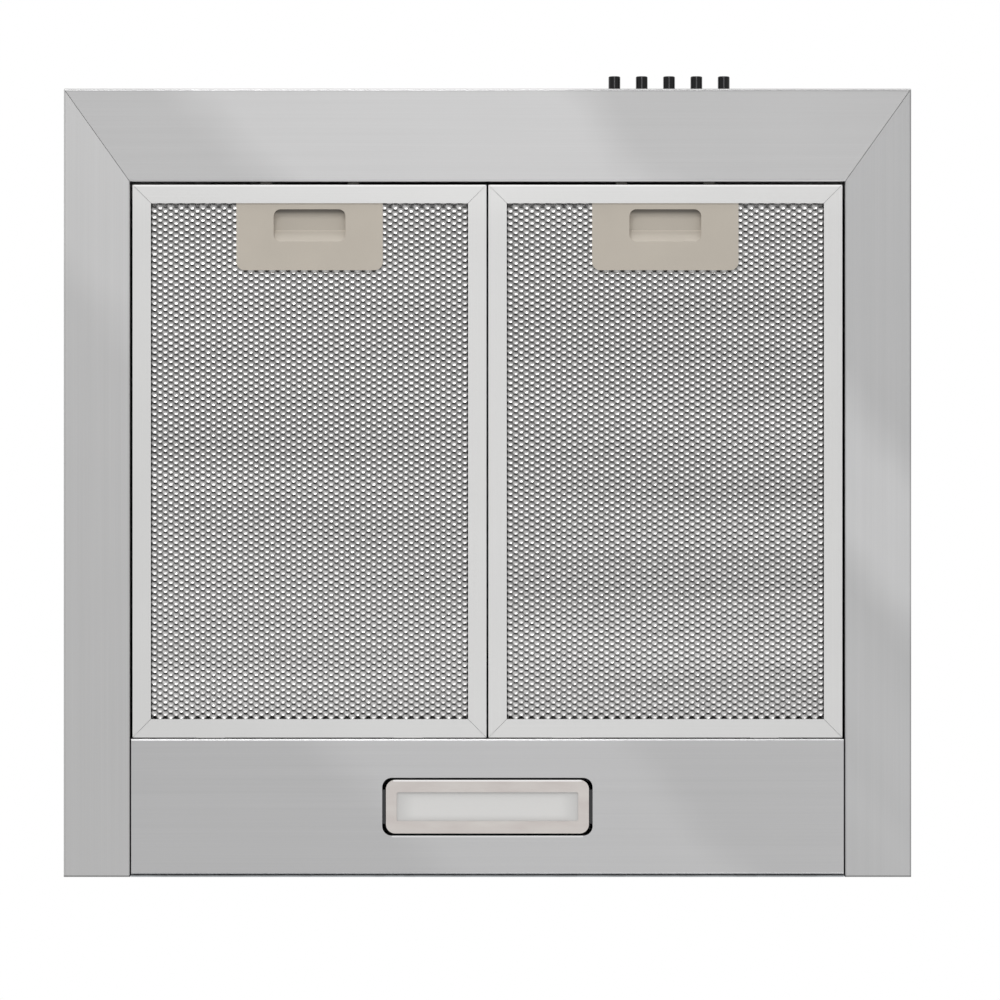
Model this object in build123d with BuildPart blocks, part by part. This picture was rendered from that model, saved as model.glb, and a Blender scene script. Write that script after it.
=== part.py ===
from build123d import *
import math
import os

# A wall-mounted dome range hood, 60 cm class, with two cassette filters, a lamp panel, five
# push buttons, a centrifugal blower under the dome and a two-part chimney cover.
# The wall is the plane y = 0, the rim stands on z = 0 and the hood is centred on x = 0.
# Millimetres. -Y is the front and +Z is up. A "depth" is a distance from the wall.

os.makedirs("parts", exist_ok=True)

# Canopy
hood_width = 600
hood_depth = 558
band_height = 60
dome_rise = 190
dome_bulge_share = 0.11
dome_side_margin = 4
dome_front_margin = 7
dome_seam = 0.2
sheet = 0.8
bend = 1.6
front_strip = 66
side_strip = 47
lip_height = 5.2
top_flange = 9
mitre_seam = 0.3
sheet_gap = 0.3
overrun = 6

# Wall plate and its fixing holes
back_sheet = 1
fixing_hole = 3.2
fixing_width = 400
fixing_height = 80
fixing_rise = 24

# Self-tapping screws that hold the sheet-metal pieces
screw_shank = 1.9
screw_length = 5
screw_head = 3.6
screw_head_height = 2.2
screw_clearance = 0.2

# Lamp panel
panel_depth = 98
panel_rise = 1.2
panel_bend = 2
panel_flange = 14
panel_end_gap = 0.8
panel_screw_rise = 9.5
panel_screw_pitch = 130

# Lamp
lamp_hole_width = 149
lamp_hole_depth = 41
lamp_hole_corner = 6.8
bezel_width = 143.7
bezel_depth = 37.9
bezel_height = 8
bezel_corner = 6.5
bezel_recess = 0.6
bezel_rim = 1.2
lens_width = 128.6
lens_depth = 20.6
lens_corner = 1.5
lens_lap = 2
lens_thickness = 2
lamp_wall = 1.2
lamp_case_height = 14
lamp_board_thickness = 1.6
lamp_board_drop = 5
led_size = 3
led_height = 0.8
led_pitch = 16
led_count = 7
bracket_foot = 12
bracket_width = 24
bracket_lap = 10
driver_length = 70
driver_depth = 30
driver_height = 22
driver_gap = 18

# Filters
filter_height = 11
filter_recess = 2.4
filter_sheet = 0.9
filter_face = 13
filter_seam = 0.2
filter_side_gap = 1.7
filter_split = 1.4
filter_front_gap = 2
filter_rear_gap = 0.6
mesh_recess = 2.4
mesh_sheet = 1
mesh_gap = 0.3
mesh_pitch = 20
mesh_row_pitch = 28
mesh_hole = 7.6
core_fold = 12
core_sheet = 0.6
tab_width = 20
tab_reach = 4
tab_thickness = 1
tab_spread = 140
tab_side_gap = 0.5
tab_swing_room = 4

# Filter latches
latch_width = 103.7
latch_depth = 47.4
latch_tuck = 8
latch_sheet = 1.2
latch_corner = 5.7
latch_gap = 0.1
pocket_width = 50.9
pocket_depth = 22.9
pocket_corner = 5
pocket_front = 4.2
pocket_floor = 14.6
pocket_height = 5.5
pocket_wall = 1
tongue_width = 7.9
tongue_thickness = 2
tongue_spread = 62
tongue_lap = 3
tongue_gap = 0.3
seat_gap = 0.4
seat_wall = 0.8
seat_side_room = 10.5
latch_spring_length = 14
latch_spring_radius = 1.9
latch_spring_wire = 0.25
latch_spring_pitch = 1.7
latch_spring_spread = 30

# Push buttons and their switch bank
button_radius = 4.25
button_pitch = 19.5
button_count = 5
button_place = 129.5
button_rise = 32
button_reach = 11
button_edge = 0.8
button_clearance = 0.3
button_flange = 5.6
button_flange_thickness = 1
button_flange_gap = 4.2
stem_size = 4
stem_length = 11
stem_clearance = 0.3
bank_gap = 10.2
bank_depth = 27
bank_height = 24
bank_margin = 12
bank_pocket = 20
button_spring_radius = 1.6
button_spring_wire = 0.2
button_spring_pitch = 2
switch_bracket_sheet = 1
switch_bracket_height = 16
switch_bracket_foot = 10

# Blower casing
casing_depth = 130
casing_wall = 2
scroll_radius = 90
scroll_growth = 10
scroll_tongue_angle = 55
blower_drop = 100
flare_drop = 50
inlet_radius = 62
casing_split_gap = 0.2
mount_length = 19
mount_radius = 8
mount_ear = 13
mount_screw = 2.4
mount_screw_head = 5
mount_screw_head_height = 3
mount_places = ((-70, 66), (-80, -76), (86, -84), (126, 16))
guard_lap = 8
guard_thickness = 2
guard_ring = 2
guard_pitch = 25
guard_spokes = 6
guard_hub = 14

# Motor and impeller
motor_radius = 48
motor_length = 60
motor_wall = 2
bearing_radius = 10
bearing_width = 6
bearing_boss = 3
bearing_gap = 0.1
stator_inner = 22
stator_length = 32
rotor_gap = 0.6
shaft_radius = 4
shaft_end = 26
running_gap = 0.05
impeller_radius = 76
impeller_inner = 64
impeller_end_gap = 8
impeller_ring = 2
impeller_disc = 2
impeller_disc_gap = 6
blade_count = 36
blade_thickness = 1
blade_curve = 10
blade_margin = 0.6
blade_lead_angle = 7
hub_radius = 14
hub_length = 12
nut_size = 8
nut_height = 6

# Duct collar and its damper
spigot_radius = 60
spigot_wall = 2
spigot_height = 38
collar_flange = 12
collar_sheet = 2
damper_rise = 20
damper_thickness = 1
damper_gap = 1.2
damper_pin = 1.5
knuckle_wall = 1.3
knuckle_gap = 0.4
knuckle_count = 6
knuckle_end_gap = 4
ledge_width = 2.5
ledge_height = 2

# Wiring entry
gland_x = 92
gland_depth = 40
gland_bore = 4.2
gland_stem = 6.4
gland_flange = 9.5
gland_flange_height = 3
gland_stem_length = 10
gland_clearance = 0.2
gland_nut_height = 4

# Control box
box_x = 85
box_width = 105
box_depth = 44
box_height = 66
box_rise = 72
box_wall = 1.5
lid_thickness = 1.5
lid_rib = 1
capacitor_radius = 14
capacitor_length = 55
capacitor_cap = 3
capacitor_gap = 0.3

# Chimney covers
chimney_width = 240
chimney_depth = 225
chimney_lower_height = 380
chimney_upper_height = 380
chimney_reveal = 90
chimney_flange = 12
chimney_gap = 0.8
vent_width = 5
vent_length = 60
vent_pitch = 14
vent_count = 5
vent_drop = 48
wall_bracket_sheet = 1.2
wall_bracket_height = 24
wall_bracket_offset = 16
wall_bracket_tab = 20
wall_bracket_inset = 2.4
wall_bracket_drop = 4
bracket_hole = 3.2
bracket_hole_spread = 120

# Heights and places that follow from the sizes above
half_width = hood_width / 2
opening_half = half_width - side_strip
dome_top = band_height + dome_rise
dome_head_half = chimney_width / 2 + dome_side_margin
dome_head_depth = chimney_depth + dome_front_margin
filter_width = (2 * opening_half - 2 * filter_side_gap - filter_split) / 2
filter_front = -(hood_depth - front_strip - filter_front_gap)
filter_rear = -(panel_depth + filter_rear_gap)
filter_length = filter_rear - filter_front
filter_top = filter_recess + filter_height
mesh_low = filter_recess + mesh_recess
back_mesh_low = filter_top - filter_sheet - mesh_gap - mesh_sheet
collar_depth = back_sheet + mount_length + casing_depth / 2


def block(low, high, mode=Mode.ADD):
    """Box between two corners, joined to the part that is being built."""
    centre = [(a + b) / 2 for a, b in zip(low, high)]
    size = [b - a for a, b in zip(low, high)]
    with Locations(tuple(centre)):
        return Box(*size, mode=mode)


def wall_plane(depth, x=0, z=0):
    """Upright plane at a depth from the wall, facing the front, with its origin at x and z."""
    return Plane(origin=(x, -depth, z), x_dir=(1, 0, 0), z_dir=(0, -1, 0))


def folded_sheet(corners, radius, thickness, side=Side.LEFT):
    """Section of a sheet folded along a line of corners, as a flat face."""
    with BuildSketch() as section:
        with BuildLine():
            FilletPolyline(*corners, radius=radius)
            offset(amount=thickness, side=side)
        make_face()
    return section.sketch_local


def coil(radius, wire, pitch, length, start, direction):
    """Open coil spring from a start point along a direction."""
    with BuildPart() as spring:
        with BuildLine():
            turns = Helix(pitch, length, radius, center=start, direction=direction)
        with BuildSketch(Plane(origin=turns @ 0, z_dir=turns % 0)):
            Circle(wire)
        sweep()
    return spring.part


def pan_screw(shank, length, head, head_height):
    """Pan-head screw standing on the origin with its head above and its shank below."""
    cross_width = head / 4
    with BuildPart() as screw:
        Cylinder(head, head_height, align=(Align.CENTER, Align.CENTER, Align.MIN))
        fillet(screw.edges().sort_by(Axis.Z)[-1], head_height / 2)
        with Locations((0, 0, head_height)):
            Box(head, cross_width, head_height, mode=Mode.SUBTRACT)
            Box(cross_width, head, head_height, mode=Mode.SUBTRACT)
        Cylinder(shank, length, align=(Align.CENTER, Align.CENTER, Align.MAX))
    return screw.part


# Skirt: three folded strips with mitred corners
def mitre_plane(side, away):
    """Upright plane along the mitre of a front corner, moved by half the seam."""
    along = Vector(-side * side_strip, front_strip, 0).normalized()
    normal = Vector(along.Y, -along.X, 0) * side
    origin = Vector(side * half_width, -hood_depth, 0) + normal * (away * mitre_seam / 2)
    return Plane(origin=origin, x_dir=along, z_dir=normal)


front_corners = [
    (-hood_depth + top_flange, band_height),
    (-hood_depth, band_height),
    (-hood_depth, 0),
    (-hood_depth + front_strip, 0),
    (-hood_depth + front_strip, lip_height),
]
button_holes = [
    wall_plane(hood_depth, button_place + (place - (button_count - 1) / 2) * button_pitch, button_rise)
    for place in range(button_count)
]
with BuildPart() as front_skirt:
    with BuildSketch(Plane.YZ):
        add(folded_sheet(front_corners, bend, sheet))
    extrude(amount=half_width, both=True)
    split(bisect_by=mitre_plane(-1, -1), keep=Keep.BOTTOM)
    split(bisect_by=mitre_plane(1, -1), keep=Keep.BOTTOM)
    with Locations(*button_holes):
        Cylinder(button_radius + button_clearance, overrun, mode=Mode.SUBTRACT)
front_skirt.part.label = "front_skirt"
export_step(front_skirt.part, "parts/front_skirt.step")

for side, word in ((-1, "left"), (1, "right")):
    side_corners = [
        (side * (half_width - top_flange), band_height),
        (side * half_width, band_height),
        (side * half_width, 0),
        (side * opening_half, 0),
        (side * opening_half, lip_height),
    ]
    fold_side = Side.LEFT if side < 0 else Side.RIGHT
    with BuildPart() as side_skirt:
        with BuildSketch(Plane.XZ):
            add(folded_sheet(side_corners, bend, sheet, fold_side))
        extrude(amount=hood_depth)
        split(bisect_by=mitre_plane(side, 1), keep=Keep.TOP)
    side_skirt.part.label = f"{word}_skirt"
    export_step(side_skirt.part, f"parts/{word}_skirt.step")


# Dome: a curved front sheet, two curved side sheets and the flat plate under the chimney
def flank(foot, head, inset):
    """Foot, middle and head points of one bulging flank, moved inwards by an inset."""
    chord = math.hypot(foot - head, dome_rise)
    sagitta = dome_bulge_share * chord
    radius = (chord**2 / 4 + sagitta**2) / (2 * sagitta)
    normal = Vector(dome_rise, foot - head) / chord
    middle = Vector((foot + head) / 2, band_height + dome_rise / 2)
    centre = middle - normal * (radius - sagitta)
    inner = radius - inset
    low = Vector(centre.X + math.sqrt(inner**2 - (band_height - centre.Y) ** 2), band_height)
    head_height = dome_top - inset
    high = Vector(centre.X + math.sqrt(inner**2 - (head_height - centre.Y) ** 2), head_height)
    return low, centre + normal * inner, high


def dome_front_face(inset, skirt_depth):
    """Outline of the dome from the front, with straight sides below it."""
    low, middle, high = flank(half_width, dome_head_half, inset)
    with BuildSketch() as face:
        with BuildLine():
            right = ThreePointArc(low, middle, high)
            top = Line(high, (-high.X, high.Y))
            left = ThreePointArc(top @ 1, (-middle.X, middle.Y), (-low.X, low.Y))
            floor = band_height - skirt_depth
            Polyline(left @ 1, (-low.X, floor), (low.X, floor), right @ 0)
        make_face()
    return face.sketch_local


def dome_side_face(inset, skirt_depth, rear_run):
    """Outline of the dome from the side, with the wall on its right."""
    low, middle, high = flank(hood_depth, dome_head_depth, inset)
    with BuildSketch() as face:
        with BuildLine():
            front = ThreePointArc((-low.X, low.Y), (-middle.X, middle.Y), (-high.X, high.Y))
            floor = band_height - skirt_depth
            Polyline(front @ 1, (rear_run, high.Y), (rear_run, floor), (-low.X, floor), front @ 0)
        make_face()
    return face.sketch_local


def dome_across(inset):
    """Solid with the dome's outline from the front, moved inwards by an inset."""
    with BuildPart() as form:
        with BuildSketch(Plane.XZ.offset(-overrun)):
            add(dome_front_face(inset, overrun))
        extrude(amount=hood_depth + 2 * overrun)
    return form.part


def dome_along(inset, rear_run):
    """Solid with the dome's outline from the side, moved inwards by an inset."""
    with BuildPart() as form:
        with BuildSketch(Plane.YZ):
            add(dome_side_face(inset, overrun, rear_run))
        extrude(amount=hood_width, both=True)
    return form.part


duct_place = (0, -collar_depth, dome_top)
gland_place = (gland_x, -gland_depth, dome_top)
collar_screw_circle = spigot_radius + collar_flange / 2
plate_low = dome_top - sheet
with BuildPart() as dome_front:
    add(dome_across(0))
    add(dome_along(0, 0), mode=Mode.INTERSECT)
    add(dome_along(sheet, overrun), mode=Mode.SUBTRACT)
    split(bisect_by=Plane.XY.offset(plate_low - dome_seam), keep=Keep.BOTTOM)
with BuildPart() as dome_sides:
    add(dome_across(0))
    add(dome_along(sheet + dome_seam, 0), mode=Mode.INTERSECT)
    add(dome_across(sheet), mode=Mode.SUBTRACT)
with BuildPart() as dome_plate:
    add(dome_across(0))
    add(dome_along(0, 0), mode=Mode.INTERSECT)
    split(bisect_by=Plane.XY.offset(plate_low), keep=Keep.TOP)
    with Locations(duct_place):
        Cylinder(spigot_radius - spigot_wall, overrun, mode=Mode.SUBTRACT)
        with PolarLocations(collar_screw_circle, 4, start_angle=45):
            Cylinder(screw_shank + screw_clearance, overrun, mode=Mode.SUBTRACT)
    with Locations(gland_place):
        Cylinder(gland_stem + gland_clearance, overrun, mode=Mode.SUBTRACT)
with BuildPart() as canopy_dome:
    add(dome_front.part)
    add(dome_sides.part)
    add(dome_plate.part)
    split(bisect_by=Plane.XY.offset(band_height), keep=Keep.TOP)
canopy_dome.part.label = "canopy_dome"
export_step(canopy_dome.part, "parts/canopy_dome.step")

# Back plate inside the shell, with four plain holes for the wall screws
scroll_half_growth = scroll_growth / 2
throat_right = scroll_half_growth + scroll_radius + 2 * scroll_growth
throat_left = scroll_radius * math.cos(math.radians(scroll_tongue_angle)) - scroll_half_growth
blower_x = -(throat_right + throat_left) / 2
blower_z = dome_top - blower_drop
back_low = lip_height + sheet_gap
back_half = half_width - top_flange - sheet_gap
fixing_centre = band_height + fixing_rise
panel_screw_planes = [
    wall_plane(back_sheet + sheet_gap + sheet, place * panel_screw_pitch, panel_rise + panel_screw_rise)
    for place in (-1.5, -0.5, 0.5, 1.5)
]
mount_planes = [wall_plane(0, blower_x + x, blower_z + z) for x, z in mount_places]
with BuildPart() as back_plate:
    with BuildSketch(Plane.XZ):
        add(dome_front_face(sheet + sheet_gap, band_height - back_low))
        with Locations((0, back_low)):
            Rectangle(
                2 * back_half, dome_top, align=(Align.CENTER, Align.MIN), mode=Mode.INTERSECT
            )
        Rectangle(2 * (opening_half - panel_end_gap), 2 * back_low)
        with Locations((0, -back_low)):
            Rectangle(hood_width, 2 * back_low, mode=Mode.SUBTRACT)
        with Locations((0, fixing_centre)):
            with GridLocations(fixing_width, fixing_height, 2, 2):
                Circle(fixing_hole, mode=Mode.SUBTRACT)
    extrude(amount=back_sheet)
    with Locations(*mount_planes):
        Cylinder(mount_screw + screw_clearance, overrun, mode=Mode.SUBTRACT)
    with Locations(*panel_screw_planes):
        Cylinder(screw_shank + screw_clearance, overrun, mode=Mode.SUBTRACT)
back_plate.part.label = "back_plate"
export_step(back_plate.part, "parts/back_plate.step")

# Lamp panel behind the filters
panel_rear = -(back_sheet + sheet_gap)
panel_centre = (panel_rear - panel_depth) / 2
panel_half = opening_half - panel_end_gap
filter_centres = [side * (filter_split + filter_width) / 2 for side in (-1, 1)]
tab_centres = [x + side * tab_spread / 2 for x in filter_centres for side in (-1, 1)]
panel_corners = [
    (-panel_depth, panel_rise + panel_flange),
    (-panel_depth, panel_rise),
    (panel_rear, panel_rise),
    (panel_rear, panel_rise + panel_flange),
]
with BuildPart() as lamp_panel:
    with BuildSketch(Plane.YZ):
        add(folded_sheet(panel_corners, panel_bend, sheet))
    extrude(amount=panel_half, both=True)
    with BuildSketch(Plane.XY):
        with Locations((0, panel_centre)):
            RectangleRounded(lamp_hole_width, lamp_hole_depth, lamp_hole_corner)
    extrude(amount=overrun, mode=Mode.SUBTRACT)
    for x in tab_centres:
        slot_half = tab_width / 2 + tab_side_gap
        block(
            (x - slot_half, -panel_depth - sheet, panel_rise + sheet),
            (x + slot_half, -panel_depth + panel_bend, filter_recess + tab_thickness + tab_swing_room),
            mode=Mode.SUBTRACT,
        )
    with Locations(*panel_screw_planes):
        Cylinder(screw_shank + screw_clearance, overrun, mode=Mode.SUBTRACT)
lamp_panel.part.label = "lamp_panel"
export_step(lamp_panel.part, "parts/lamp_panel.step")

# Lamp: bezel, lens, board, case, brackets and driver
bezel_low = panel_rise + bezel_recess
bezel_top = bezel_low + bezel_height
lens_low = bezel_low + bezel_rim
case_top = bezel_top + lamp_case_height
with BuildPart() as lamp_bezel:
    with BuildSketch(Plane.XY.offset(bezel_low)):
        with Locations((0, panel_centre)):
            RectangleRounded(bezel_width, bezel_depth, bezel_corner)
            RectangleRounded(lens_width, lens_depth, lens_corner, mode=Mode.SUBTRACT)
    extrude(amount=bezel_rim)
    with BuildSketch(Plane.XY.offset(lens_low)):
        with Locations((0, panel_centre)):
            RectangleRounded(bezel_width, bezel_depth, bezel_corner)
            RectangleRounded(
                bezel_width - 2 * lamp_wall,
                bezel_depth - 2 * lamp_wall,
                bezel_corner - lamp_wall,
                mode=Mode.SUBTRACT,
            )
    extrude(amount=bezel_height - bezel_rim)
lamp_bezel.part.label = "lamp_bezel"
export_step(lamp_bezel.part, "parts/lamp_bezel.step")

with BuildPart() as lamp_diffuser:
    with BuildSketch(Plane.XY.offset(lens_low)):
        with Locations((0, panel_centre)):
            RectangleRounded(lens_width + 2 * lens_lap, lens_depth + 2 * lens_lap, lens_corner)
    extrude(amount=lens_thickness)
lamp_diffuser.part.label = "lamp_diffuser"
export_step(lamp_diffuser.part, "parts/lamp_diffuser.step")

with BuildPart() as lamp_case:
    with BuildSketch(Plane.XY.offset(bezel_top)):
        with Locations((0, panel_centre)):
            RectangleRounded(bezel_width, bezel_depth, bezel_corner)
    extrude(amount=lamp_case_height)
    with BuildSketch(Plane.XY.offset(bezel_top)):
        with Locations((0, panel_centre)):
            RectangleRounded(
                bezel_width - 2 * lamp_wall, bezel_depth - 2 * lamp_wall, bezel_corner - lamp_wall
            )
    extrude(amount=lamp_case_height - lamp_wall, mode=Mode.SUBTRACT)
lamp_case.part.label = "lamp_case"
export_step(lamp_case.part, "parts/lamp_case.step")

board_high = case_top - lamp_wall - lamp_board_drop
board_half_width = bezel_width / 2 - lamp_wall - sheet_gap
board_half_depth = bezel_depth / 2 - lamp_wall - sheet_gap
with BuildPart() as lamp_board:
    with BuildSketch(Plane.XY.offset(board_high - lamp_board_thickness)):
        with Locations((0, panel_centre)):
            RectangleRounded(
                2 * board_half_width, 2 * board_half_depth, bezel_corner - lamp_wall - sheet_gap
            )
    extrude(amount=lamp_board_thickness)
    with Locations((0, panel_centre, board_high - lamp_board_thickness)):
        with GridLocations(led_pitch, led_pitch, led_count, 1):
            Box(led_size, led_size, led_height, align=(Align.CENTER, Align.CENTER, Align.MAX))
lamp_board.part.label = "lamp_board"
export_step(lamp_board.part, "parts/lamp_board.step")

bracket_inner = bezel_width / 2 + sheet_gap
panel_top = panel_rise + sheet
bracket_profile = [
    (bracket_inner + bracket_foot, panel_top),
    (bracket_inner, panel_top),
    (bracket_inner, case_top + sheet_gap + sheet),
    (bracket_inner - bracket_lap, case_top + sheet_gap + sheet),
]
with BuildPart() as lamp_bracket:
    with BuildSketch(Plane.XZ.offset(-panel_centre)):
        with BuildLine():
            Polyline(*bracket_profile)
            offset(amount=sheet, side=Side.RIGHT)
        make_face()
    extrude(amount=bracket_width / 2, both=True)
    mirror(about=Plane.YZ)
lamp_bracket.part.label = "lamp_bracket"
export_step(lamp_bracket.part, "parts/lamp_bracket.step")

driver_start = bracket_inner + bracket_foot + driver_gap
with BuildPart() as lamp_driver:
    block(
        (driver_start, panel_centre - driver_depth / 2, panel_top),
        (driver_start + driver_length, panel_centre + driver_depth / 2, panel_top + driver_height),
    )
    fillet(lamp_driver.edges().filter_by(Axis.Z), lens_corner)
lamp_driver.part.label = "lamp_driver"
export_step(lamp_driver.part, "parts/lamp_driver.step")


# Filters: a mitred channel frame round a face mesh, a folded core and a back mesh
def mesh_net(centre_x, low, front_cut):
    """Sheet with staggered six-sided openings, with a cut at the front for the latch."""
    inner_gap = filter_sheet + mesh_gap
    net_width = filter_width - 2 * inner_gap
    net_length = filter_length - 2 * inner_gap
    open_width = filter_width - 2 * filter_face
    open_length = filter_length - 2 * filter_face
    columns = int(open_width // mesh_pitch)
    rows = int(open_length // mesh_row_pitch)
    middle = (centre_x, (filter_front + filter_rear) / 2)
    with BuildPart() as net:
        with BuildSketch(Plane.XY.offset(low)):
            with Locations(middle):
                Rectangle(net_width, net_length)
                with GridLocations(mesh_pitch, mesh_row_pitch, columns, rows):
                    RegularPolygon(mesh_hole, 6, mode=Mode.SUBTRACT)
                with GridLocations(mesh_pitch, mesh_row_pitch, columns - 1, rows - 1):
                    RegularPolygon(mesh_hole, 6, mode=Mode.SUBTRACT)
        extrude(amount=mesh_sheet)
        if front_cut:
            block(
                (centre_x - seat_half - seat_gap, filter_front, low - mesh_sheet),
                (centre_x + seat_half + seat_gap, seat_rear + seat_gap, low + 2 * mesh_sheet),
                mode=Mode.SUBTRACT,
            )
    return net.part


latch_edge = filter_front + filter_face
latch_low = filter_recess + filter_sheet + latch_gap
latch_high = latch_low + latch_sheet
tub_half = pocket_width / 2 + pocket_wall
tub_top = latch_low + pocket_height + pocket_wall
tub_rear = latch_edge + pocket_front + pocket_depth + pocket_wall
tongue_low = lip_height + tongue_gap
tongue_tip = filter_front - filter_front_gap - sheet - tongue_lap
seat_half = tub_half + seat_side_room
seat_rear = tub_rear + latch_spring_length + seat_wall
seat_low = mesh_low
seat_top = back_mesh_low - mesh_gap
spring_height = (latch_high + tub_top) / 2


def channel_frame(centre_x):
    """Four channel rails, mitred at the corners, with slots for the latch tongues."""
    left, right = centre_x - filter_width / 2, centre_x + filter_width / 2
    with BuildPart() as frame:
        block((left, filter_front, filter_recess), (right, filter_rear, filter_top))
        block(
            (left + filter_sheet, filter_front + filter_sheet, filter_recess + filter_sheet),
            (right - filter_sheet, filter_rear - filter_sheet, filter_top - filter_sheet),
            mode=Mode.SUBTRACT,
        )
        block(
            (left + filter_face, filter_front + filter_face, 0),
            (right - filter_face, filter_rear - filter_face, filter_top + overrun),
            mode=Mode.SUBTRACT,
        )
        for x, y, turn in (
            (left, filter_front, 45),
            (right, filter_front, 135),
            (right, filter_rear, 225),
            (left, filter_rear, 315),
        ):
            with Locations(Location((x, y, filter_top / 2), (0, 0, turn))):
                Box(3 * filter_face, filter_seam, 2 * filter_top, mode=Mode.SUBTRACT)
        for side in (-1, 1):
            x = centre_x + side * tongue_spread / 2
            half = tongue_width / 2 + seat_gap
            block(
                (x - half, filter_front - filter_sheet, tongue_low - tongue_gap),
                (x + half, filter_front + 2 * filter_sheet, tongue_low + tongue_thickness + tongue_gap),
                mode=Mode.SUBTRACT,
            )
        for side in (-1, 1):
            x = centre_x + side * tab_spread / 2
            block(
                (x - tab_width / 2, filter_rear - filter_sheet, filter_recess),
                (x + tab_width / 2, filter_rear + filter_rear_gap + tab_reach, filter_recess + tab_thickness),
            )
    return frame.part


def folded_core(centre_x):
    """Pleated sheet that fills the frame between its two meshes, cut round the latch seat."""
    low = mesh_low + mesh_sheet + mesh_gap
    high = back_mesh_low - mesh_gap - core_sheet
    half = filter_width / 2 - filter_sheet - mesh_gap
    folds = int(2 * half // core_fold)
    start = centre_x - folds * core_fold / 2
    ridge = [
        (start + number * core_fold / 2, high if number % 2 else low)
        for number in range(2 * folds + 1)
    ]
    under = [(x, z + core_sheet) for x, z in reversed(ridge)]
    inner_gap = filter_sheet + mesh_gap
    with BuildPart() as core:
        with BuildSketch(Plane.XZ.offset(-filter_rear + inner_gap)):
            with BuildLine():
                Polyline(*ridge, *under, close=True)
            make_face()
        extrude(amount=filter_length - 2 * inner_gap)
        block(
            (centre_x - seat_half - seat_gap, filter_front, 0),
            (centre_x + seat_half + seat_gap, seat_rear + seat_gap, filter_top + overrun),
            mode=Mode.SUBTRACT,
        )
    return core.part


def latch_tray(centre_x):
    """Tray over the latch, open below and at the front, that carries the latch springs."""
    front = filter_front + filter_sheet + seat_gap
    with BuildPart() as tray:
        block((centre_x - seat_half, front, seat_low), (centre_x + seat_half, seat_rear, seat_top))
        block(
            (centre_x - seat_half + seat_wall, front - overrun, seat_low - overrun),
            (centre_x + seat_half - seat_wall, seat_rear - seat_wall, seat_top - seat_wall),
            mode=Mode.SUBTRACT,
        )
    return tray.part


def latch_slider(centre_x):
    """Latch plate with its finger pocket and two tongues."""
    front = latch_edge - latch_tuck
    rear = latch_edge + latch_depth
    pocket_start = latch_edge + pocket_front
    pocket_middle = pocket_start + pocket_depth / 2
    ramp = [
        (pocket_start, 0),
        (pocket_start, latch_low + pocket_height),
        (pocket_start + pocket_floor, latch_low + pocket_height),
        (pocket_start + pocket_depth, latch_low),
        (pocket_start + pocket_depth, 0),
    ]
    with BuildPart() as hollow:
        with BuildSketch(Plane.XY):
            with Locations((centre_x, pocket_middle)):
                RectangleRounded(pocket_width, pocket_depth, pocket_corner)
        extrude(amount=filter_top)
        with BuildSketch(Plane.YZ.offset(centre_x)):
            with BuildLine():
                Polyline(*ramp, close=True)
            make_face()
        extrude(amount=pocket_width, both=True, mode=Mode.INTERSECT)
    with BuildPart() as latch:
        with BuildSketch(Plane.XY.offset(latch_low)):
            with Locations((centre_x, (front + rear) / 2)):
                Rectangle(latch_width, rear - front)
        extrude(amount=latch_sheet)
        rear_corners = latch.edges().filter_by(Axis.Z).group_by(Axis.Y)[-1]
        fillet(rear_corners, latch_corner)
        with BuildSketch(Plane.XY.offset(latch_low)):
            with Locations((centre_x, pocket_middle)):
                RectangleRounded(
                    pocket_width + 2 * pocket_wall,
                    pocket_depth + 2 * pocket_wall,
                    pocket_corner + pocket_wall,
                )
        extrude(amount=tub_top - latch_low)
        add(hollow.part, mode=Mode.SUBTRACT)
        for side in (-1, 1):
            x = centre_x + side * tongue_spread / 2
            low_x, high_x = x - tongue_width / 2, x + tongue_width / 2
            block((low_x, front, latch_low), (high_x, front + tongue_thickness, tongue_low + tongue_thickness))
            block((low_x, tongue_tip, tongue_low), (high_x, front, tongue_low + tongue_thickness))
    return latch.part


for side, word, centre_x in ((-1, "left", filter_centres[0]), (1, "right", filter_centres[1])):
    filter_frame = channel_frame(centre_x)
    filter_frame.label = f"filter_frame_{word}"
    export_step(filter_frame, f"parts/filter_frame_{word}.step")

    filter_mesh = mesh_net(centre_x, mesh_low, True)
    filter_mesh.label = f"filter_mesh_{word}"
    export_step(filter_mesh, f"parts/filter_mesh_{word}.step")

    filter_core = folded_core(centre_x)
    filter_core.label = f"filter_core_{word}"
    export_step(filter_core, f"parts/filter_core_{word}.step")

    filter_back = mesh_net(centre_x, back_mesh_low, False)
    filter_back.label = f"filter_back_{word}"
    export_step(filter_back, f"parts/filter_back_{word}.step")

    latch_seat = latch_tray(centre_x)
    latch_seat.label = f"latch_seat_{word}"
    export_step(latch_seat, f"parts/latch_seat_{word}.step")

    latch = latch_slider(centre_x)
    latch.label = f"latch_{word}"
    export_step(latch, f"parts/latch_{word}.step")

    with BuildPart() as latch_springs:
        for place in (-1, 1):
            x = centre_x + place * latch_spring_spread / 2
            start = (x, tub_rear + latch_spring_wire, spring_height)
            length = latch_spring_length - 2 * latch_spring_wire
            add(coil(latch_spring_radius, latch_spring_wire, latch_spring_pitch, length, start, (0, 1, 0)))
    latch_springs.part.label = f"latch_springs_{word}"
    export_step(latch_springs.part, f"parts/latch_springs_{word}.step")

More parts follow.
